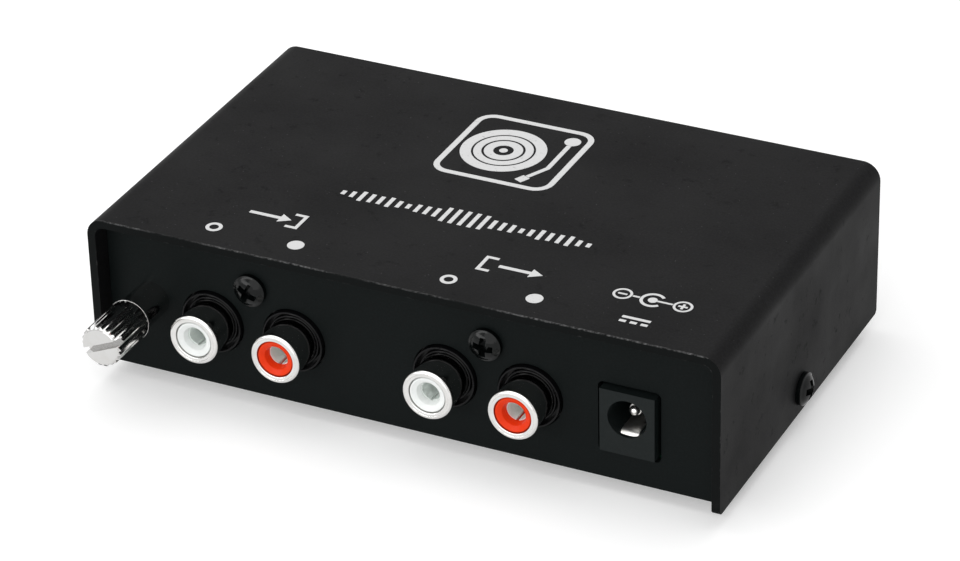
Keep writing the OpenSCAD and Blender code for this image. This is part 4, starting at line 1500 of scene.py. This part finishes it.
@dataclass
class PowerSocket:
    """The barrel power socket: its body, centre pin and side contact."""

    axis_z: float = 14.5
    pin_r: float = 1.0
    tip_trim: float = 0.18
    neck_l: float = 0.05
    shoulder: Point = (0.05, 0.02)
    shoulder_l: float = 0.09
    seat_r: float = 1.2
    seat_edge: float = 0.15
    back_y: float = -13.7
    lead_r: float = 0.5
    leaf_w: float = 3.0
    leaf_t: float = 0.35
    leaf_bow: tuple[Point, ...] = (
        (0.0, 0.0), (0.35, 0.32), (0.8, 0.55), (1.5, 0.66), (3.0, 0.68), (5.0, 0.62),
    )
    leaf_end: Point = (1.2, 0.25)
    leg_w: float = 1.2
    leg_shift: float = 1.5
    body_edge: float = 0.14
    leaf_edge: float = 0.08
    plastic: Moulding = Moulding(
        "power_plastic", (0.006, 0.0085, 0.0085), 0.45, marked=(0.010, 0.013, 0.013), specular=0.12,
    )

    def build(self) -> None:
        """Builds the contacts and finishes the body."""
        paint(self.plastic.material(), self.body_edge, "power_socket_body")
        x = middle("power_socket_pin").x
        centre, stained = (x, self.axis_z), (0.6, 0.59, 0.55)
        shade = Plating("power_contact", (0.8, 0.79, 0.77), 0.3, centre=centre, stained=stained).material()
        self.pin(x, shade)
        self.leaf(x, shade)

    def pin(self, x: float, shade: bpy.types.Material) -> None:
        """The centre pin with its round tip, and its tail into the board.

        Args:
            x: the socket's X.
            shade: its material.
        """
        node = "power_socket_pin"
        tip, end, base = low(node).y, high(node).y, low(node).z
        r, tail = self.pin_r, end - self.seat_r
        ball = r - self.tip_trim
        angles = [math.radians(a) for a in range(0, 101, 10)]
        profile = [(ball * math.sin(a), tip + ball * (1 - math.cos(a))) for a in angles]
        neck = profile[-1][1] + self.neck_l
        under, rise = self.shoulder
        profile += [(ball, neck), (r - under, neck + rise), (r, neck + self.shoulder_l), (r, self.back_y)]
        seat, edge = self.seat_r, self.seat_edge
        profile += [(seat, self.back_y), (seat, end - edge), (seat - edge, end), (0, end)]
        draft = Draft().turned(x, self.axis_z, profile, steps=48)
        board = low("power_socket_body").z
        for radius, bottom, top in ((seat, board, self.axis_z), (self.lead_r, base, board)):
            draft.plate(circle(x, tail, radius, steps=32), bottom, top)
        dress(draft.object("power_centre_pin"), shade, "power_contact", node)

    def leaf(self, x: float, shade: bpy.types.Material) -> None:
        """The sprung leaf under the pin, bowed up and turned down at its mouth.

        Args:
            x: the socket's X.
            shade: its material.
        """
        node = "power_socket_spring"
        start, end, crest = low(node).y, high(node).y, high(node).z
        rest = crest - max(rise for _, rise in self.leaf_bow)
        path = [(start + along, rest + rise) for along, rise in self.leaf_bow]
        path += [(end - self.leaf_end[0], rest + self.leaf_end[1]), (end, rest)]
        half, thick = self.leaf_w / 2, self.leaf_t
        corners = ((-half, 0.0), (half, 0.0), (half, -thick), (-half, -thick))
        draft = Draft().loft([[(x + u, y, z + v) for u, v in corners] for y, z in path])
        leg_y = (start + end) / 2 + self.leg_shift
        draft.block((x - self.leg_w / 2, leg_y, low(node).z), (x + self.leg_w / 2, leg_y + thick, rest))
        leaf = soften(draft.object("power_side_leaf"), self.leaf_edge, segments=2)
        dress(leaf, shade, "power_contact", node)


@dataclass
class Feet:
    """Four rubber feet under the tray."""

    edge: float = 0.3
    rubber: Moulding = Moulding(
        "foot_rubber", (0.012, 0.012, 0.012), 0.7, marked=(0.02, 0.02, 0.02), depth=0.02,
    )

    def build(self) -> None:
        """Finishes the four feet."""
        nodes = [f"foot_{end}_{side}" for end in ("front", "back") for side in SIDES]
        paint(self.rubber.material(), self.edge, *nodes)


@dataclass
class GroundTerminal:
    """The earth terminal: a post on the panel, a washer and a knurled thumbscrew."""

    head_r: float = 3.45
    head_l: float = 9.3
    teeth: int = 24
    tooth_l: float = 0.354
    front_chamfer: float = 0.5
    rim_l: float = 0.25
    rim_h: float = 0.035
    run_out: float = 1.5
    slot_w: float = 1.05
    slot_l: float = 1.75
    slot_angle: float = 23.5
    shank_r: float = 1.45
    root_r: float = 1.2
    pitch: float = 0.5
    thread_start: float = 0.2
    tip: Point = (0.2, 0.25)
    overrun: float = 0.5
    sink: float = 0.1
    sharp: float = 20.0
    edge: float = 0.08
    knurl_edge: float = 0.035

    def build(self) -> None:
        """Finishes the post and washer, and builds the thumbscrew."""
        spot = middle("ground_washer")
        centre, stained = (spot.x, spot.z), (0.53, 0.52, 0.5)
        nickel = Plating(
            "terminal_nickel", (0.58, 0.577, 0.57), 0.08, centre=centre, stained=stained, rings=6000.0,
        )
        shade = nickel.material()
        paint(shade, self.edge, "ground_post", "ground_washer")
        self.thumbscrew(spot.x, spot.z, shade)

    def section(self, limit: float, depth: float, x: float, y: float, z: float) -> list[Spot]:
        """The knurled outline at one Y, no wider than a limit.

        Args:
            limit: largest radius there.
            depth: how deep the grooves are there.
            x: the axis's X.
            y: where along the axis.
            z: the axis's Z.

        Returns:
            The outline's points.
        """
        pitch = 2 * math.pi * self.head_r / self.teeth
        land = 0.5 - self.tooth_l / pitch
        points = []
        for k in range(self.teeth):
            for share, radius in ((land, self.head_r), (0.5, self.head_r - depth), (1 - land, self.head_r)):
                angle = 2 * math.pi * (k + share) / self.teeth
                r = min(radius, limit)
                points.append((x + r * math.cos(angle), y, z + r * math.sin(angle)))
        return points

    def thumbscrew(self, x: float, z: float, shade: bpy.types.Material) -> None:
        """The knurled screw with its chamfers, slot and threaded shank.

        Args:
            x: the axis's X.
            z: the axis's Z.
            shade: its material.
        """
        node = "ground_thumbscrew"
        face, tip = low(node).y, high(node).y
        seat = face + self.head_l
        chamfer, tooth, radius = self.front_chamfer, self.tooth_l, self.head_r
        rim_y = seat - self.rim_l
        levels = [
            (radius - chamfer, tooth, face), (radius - tooth, tooth, face + chamfer - tooth),
            (radius - tooth / 2, tooth, face + chamfer - tooth / 2), (radius, tooth, face + chamfer),
            (radius, tooth, rim_y - self.run_out), (radius, 0.0, rim_y),
        ]
        draft = Draft().loft([self.section(limit, depth, x, y, z) for limit, depth, y in levels])
        head = draft.object("knurled_thumbscrew", self.sharp)
        reach, half = radius + 2 * self.overrun, self.slot_w / 2
        slot = Draft().block((-reach, face - self.overrun, -half), (reach, face + self.slot_l, half))
        lean = stand((x, 0, z), -self.slot_angle, "Y")
        carve(head, slot.turn_onto(lean).object("slot"), self.sharp)
        edge = radius + self.rim_h
        corners = [(0, rim_y, 0), (edge, rim_y, self.rim_h), (edge, seat, 0.1), (0, seat, 0)]
        rim = rounded(corners, closed=False, steps=4)
        shank = [(0.0, seat - self.sink), (self.shank_r, seat - self.sink)]
        y = seat + self.thread_start
        while y + self.pitch < tip:
            shank += [(self.root_r, y), (self.shank_r, y + self.pitch / 2)]
            y += self.pitch
        narrow, taper = self.tip
        shank += [(self.root_r, tip - taper), (self.root_r - narrow, tip), (0.0, tip)]
        turned = [Draft().turned(x, z, profile, steps=96).object("turned") for profile in (rim, shank)]
        whole = joined("knurled_thumbscrew", [head, *turned], self.sharp)
        soften(whole, self.knurl_edge, segments=2, angle=30)
        dress(whole, shade, "terminal_nickel", node, body="terminal_screw")


@dataclass
class Inside:
    """The circuit board with what stands on it, and the ground terminal's nut and lug."""

    board: Laminate = Laminate("board_laminate", (0.006, 0.07, 0.035), 0.3)
    posts: Plating = Plating("post_steel", (0.6, 0.6, 0.6), 0.35)
    screws: BlackOxide = BlackOxide("post_screw", (0.02, 0.02, 0.022), 0.3)
    brass: Plating = Plating("tinned_brass", (0.66, 0.64, 0.58), 0.3)
    epoxy: Moulding = Moulding("chip_epoxy", (0.02, 0.02, 0.02), 0.55)
    film: Moulding = Moulding(
        "resistor_film", (0.012, 0.012, 0.013), 0.25, marked=(0.2, 0.2, 0.2), grain=2600.0,
    )
    sleeve: Moulding = Moulding("capacitor_sleeve", (0.015, 0.02, 0.06), 0.25, marked=(0.02, 0.03, 0.08))
    film_case: Moulding = Moulding("film_case", (0.5, 0.04, 0.02), 0.3, marked=(0.45, 0.03, 0.02))
    ceramic: Moulding = Moulding("ceramic", (0.45, 0.3, 0.16), 0.5, marked=(0.4, 0.27, 0.14))

    def build(self) -> None:
        """Finishes the inner nodes."""
        paint(self.board.material(), 0, "circuit_board")
        paint(self.posts.material(), 0, "board_posts")
        paint(self.screws.material(), 0, "board_screws")
        paint(self.brass.material(), 0, "ground_nut", "ground_lug")
        paint(self.epoxy.material(), 0, "left_amplifier_chip", "right_amplifier_chip", "voltage_regulator")
        paint(self.film.material(), 0, "resistors", "input_diode")
        paint(self.sleeve.material(), 0, "supply_capacitors", "coupling_capacitors")
        paint(self.film_case.material(), 0, "film_capacitors")
        paint(self.ceramic.material(), 0, "ceramic_capacitors")


# ---------------------------------------------------------------- studio


@dataclass(frozen=True)
class Softbox:
    """A rectangular lamp that looks at the object, its place and size in millimetres."""

    name: str
    spot: Spot
    size: Point
    watts: float


@dataclass
class Studio:
    """Pale floor, soft lamps and the camera."""

    azimuth: float = 26.462
    elevation: float = 30.182
    roll: float = -1.472
    distance: float = 637.45
    lens: float = 152.6
    sensor: float = 36.0
    target: Spot = (1.919, -0.278, 17.8)
    floor_reach: float = 4000.0
    floor_colour: Colour = (0.84, 0.84, 0.84)
    floor_glow: float = 0.32
    light: Colour = (1.0, 1.0, 1.0)
    ambient: float = 0.3
    backdrop: float = 0.7
    lamps: tuple[Softbox, ...] = (
        Softbox("top_softbox", (-60, 60, 920), (1400, 1400), 8.0),
        Softbox("front_softbox", (200, -880, 420), (900, 900), 3.2),
        Softbox("left_softbox", (-560, -760, 350), (900, 250), 2.8),
    )

    def build(self) -> None:
        """Builds the stage."""
        self.floor()
        self.sky()
        for softbox in self.lamps:
            self.lamp(softbox)
        self.camera()
        bpy.context.scene.view_settings.view_transform = "Standard"

    def floor(self) -> None:
        """A wide pale floor that keeps the shadow."""
        draft = Draft()
        corners = [(u * self.floor_reach, v * self.floor_reach, 0) for u, v in SQUARE]
        draft.mesh.faces.new(draft.row(corners))
        floor = draft.object("studio_floor")
        material = bpy.data.materials.new("pale_floor")
        graph = blank(material)
        paper = graph.add("ShaderNodeBsdfDiffuse", {"Color": rgba(self.floor_colour)})
        glow = graph.add("ShaderNodeEmission", {"Color": rgba(self.light), "Strength": self.floor_glow})
        dark = graph.add("ShaderNodeEmission", {"Strength": 0.0})
        shown = graph.fill("ShaderNodeMixShader", graph.seen(), dark.outputs[0], glow.outputs[0])
        both = graph.fill("ShaderNodeAddShader", paper.outputs[0], shown.outputs[0])
        graph.add("ShaderNodeOutputMaterial", {"Surface": both.outputs[0]})
        floor.data.materials.append(material)

    def sky(self) -> None:
        """A dim even surround that the camera sees as white."""
        world = bpy.data.worlds.new("studio_sky")
        bpy.context.scene.world = world
        graph = blank(world)
        level = graph.math("ADD", graph.times(graph.seen(), self.backdrop), self.ambient)
        light = graph.add("ShaderNodeBackground", {"Color": rgba(self.light), "Strength": level})
        graph.add("ShaderNodeOutputWorld", {"Surface": light.outputs[0]})

    def lamp(self, softbox: Softbox) -> None:
        """Stands up one softbox.

        Args:
            softbox: which one.
        """
        data = bpy.data.lights.new(softbox.name, "AREA")
        data.shape = "RECTANGLE"
        data.size, data.size_y = (side * MM for side in softbox.size)
        data.energy = softbox.watts
        lamp = new_object(softbox.name, data)
        lamp.location = Vector(softbox.spot) * MM
        lamp.rotation_mode = "QUATERNION"
        lamp.rotation_quaternion = (Vector(self.target) - Vector(softbox.spot)).to_track_quat("-Z", "Y")

    def camera(self) -> None:
        """The camera at the photograph's viewing angle."""
        a, e, r = (math.radians(angle) for angle in (self.azimuth, self.elevation, self.roll))
        back = Vector((math.sin(a) * math.cos(e), -math.cos(a) * math.cos(e), math.sin(e)))
        right = Vector((0, 0, 1)).cross(back).normalized()
        up = back.cross(right)
        rolled_right = math.cos(r) * right + math.sin(r) * up
        rolled_up = math.cos(r) * up - math.sin(r) * right
        data = bpy.data.cameras.new("studio_camera")
        data.lens = self.lens
        data.sensor_width = self.sensor
        data.clip_start = 0.05
        camera = new_object("studio_camera", data)
        turn = Matrix((rolled_right, rolled_up, back)).transposed().to_4x4()
        turn.translation = (Vector(self.target) + back * self.distance) * MM
        camera.matrix_world = turn
        bpy.context.scene.camera = camera


def main() -> None:
    """Builds the whole scene in order."""
    logging.basicConfig(level=logging.INFO, format="%(name)s: %(message)s")
    build_effects()
    parts = (
        SteelCase(), CoverPrints(), SignalSockets(), PanHeadScrews(), PowerSocket(), GroundTerminal(),
        Feet(), Inside(), Studio(),
    )
    for part in parts:
        part.build()
        LOG.info("%s done", type(part).__name__)


if __name__ == "__main__":
    main()
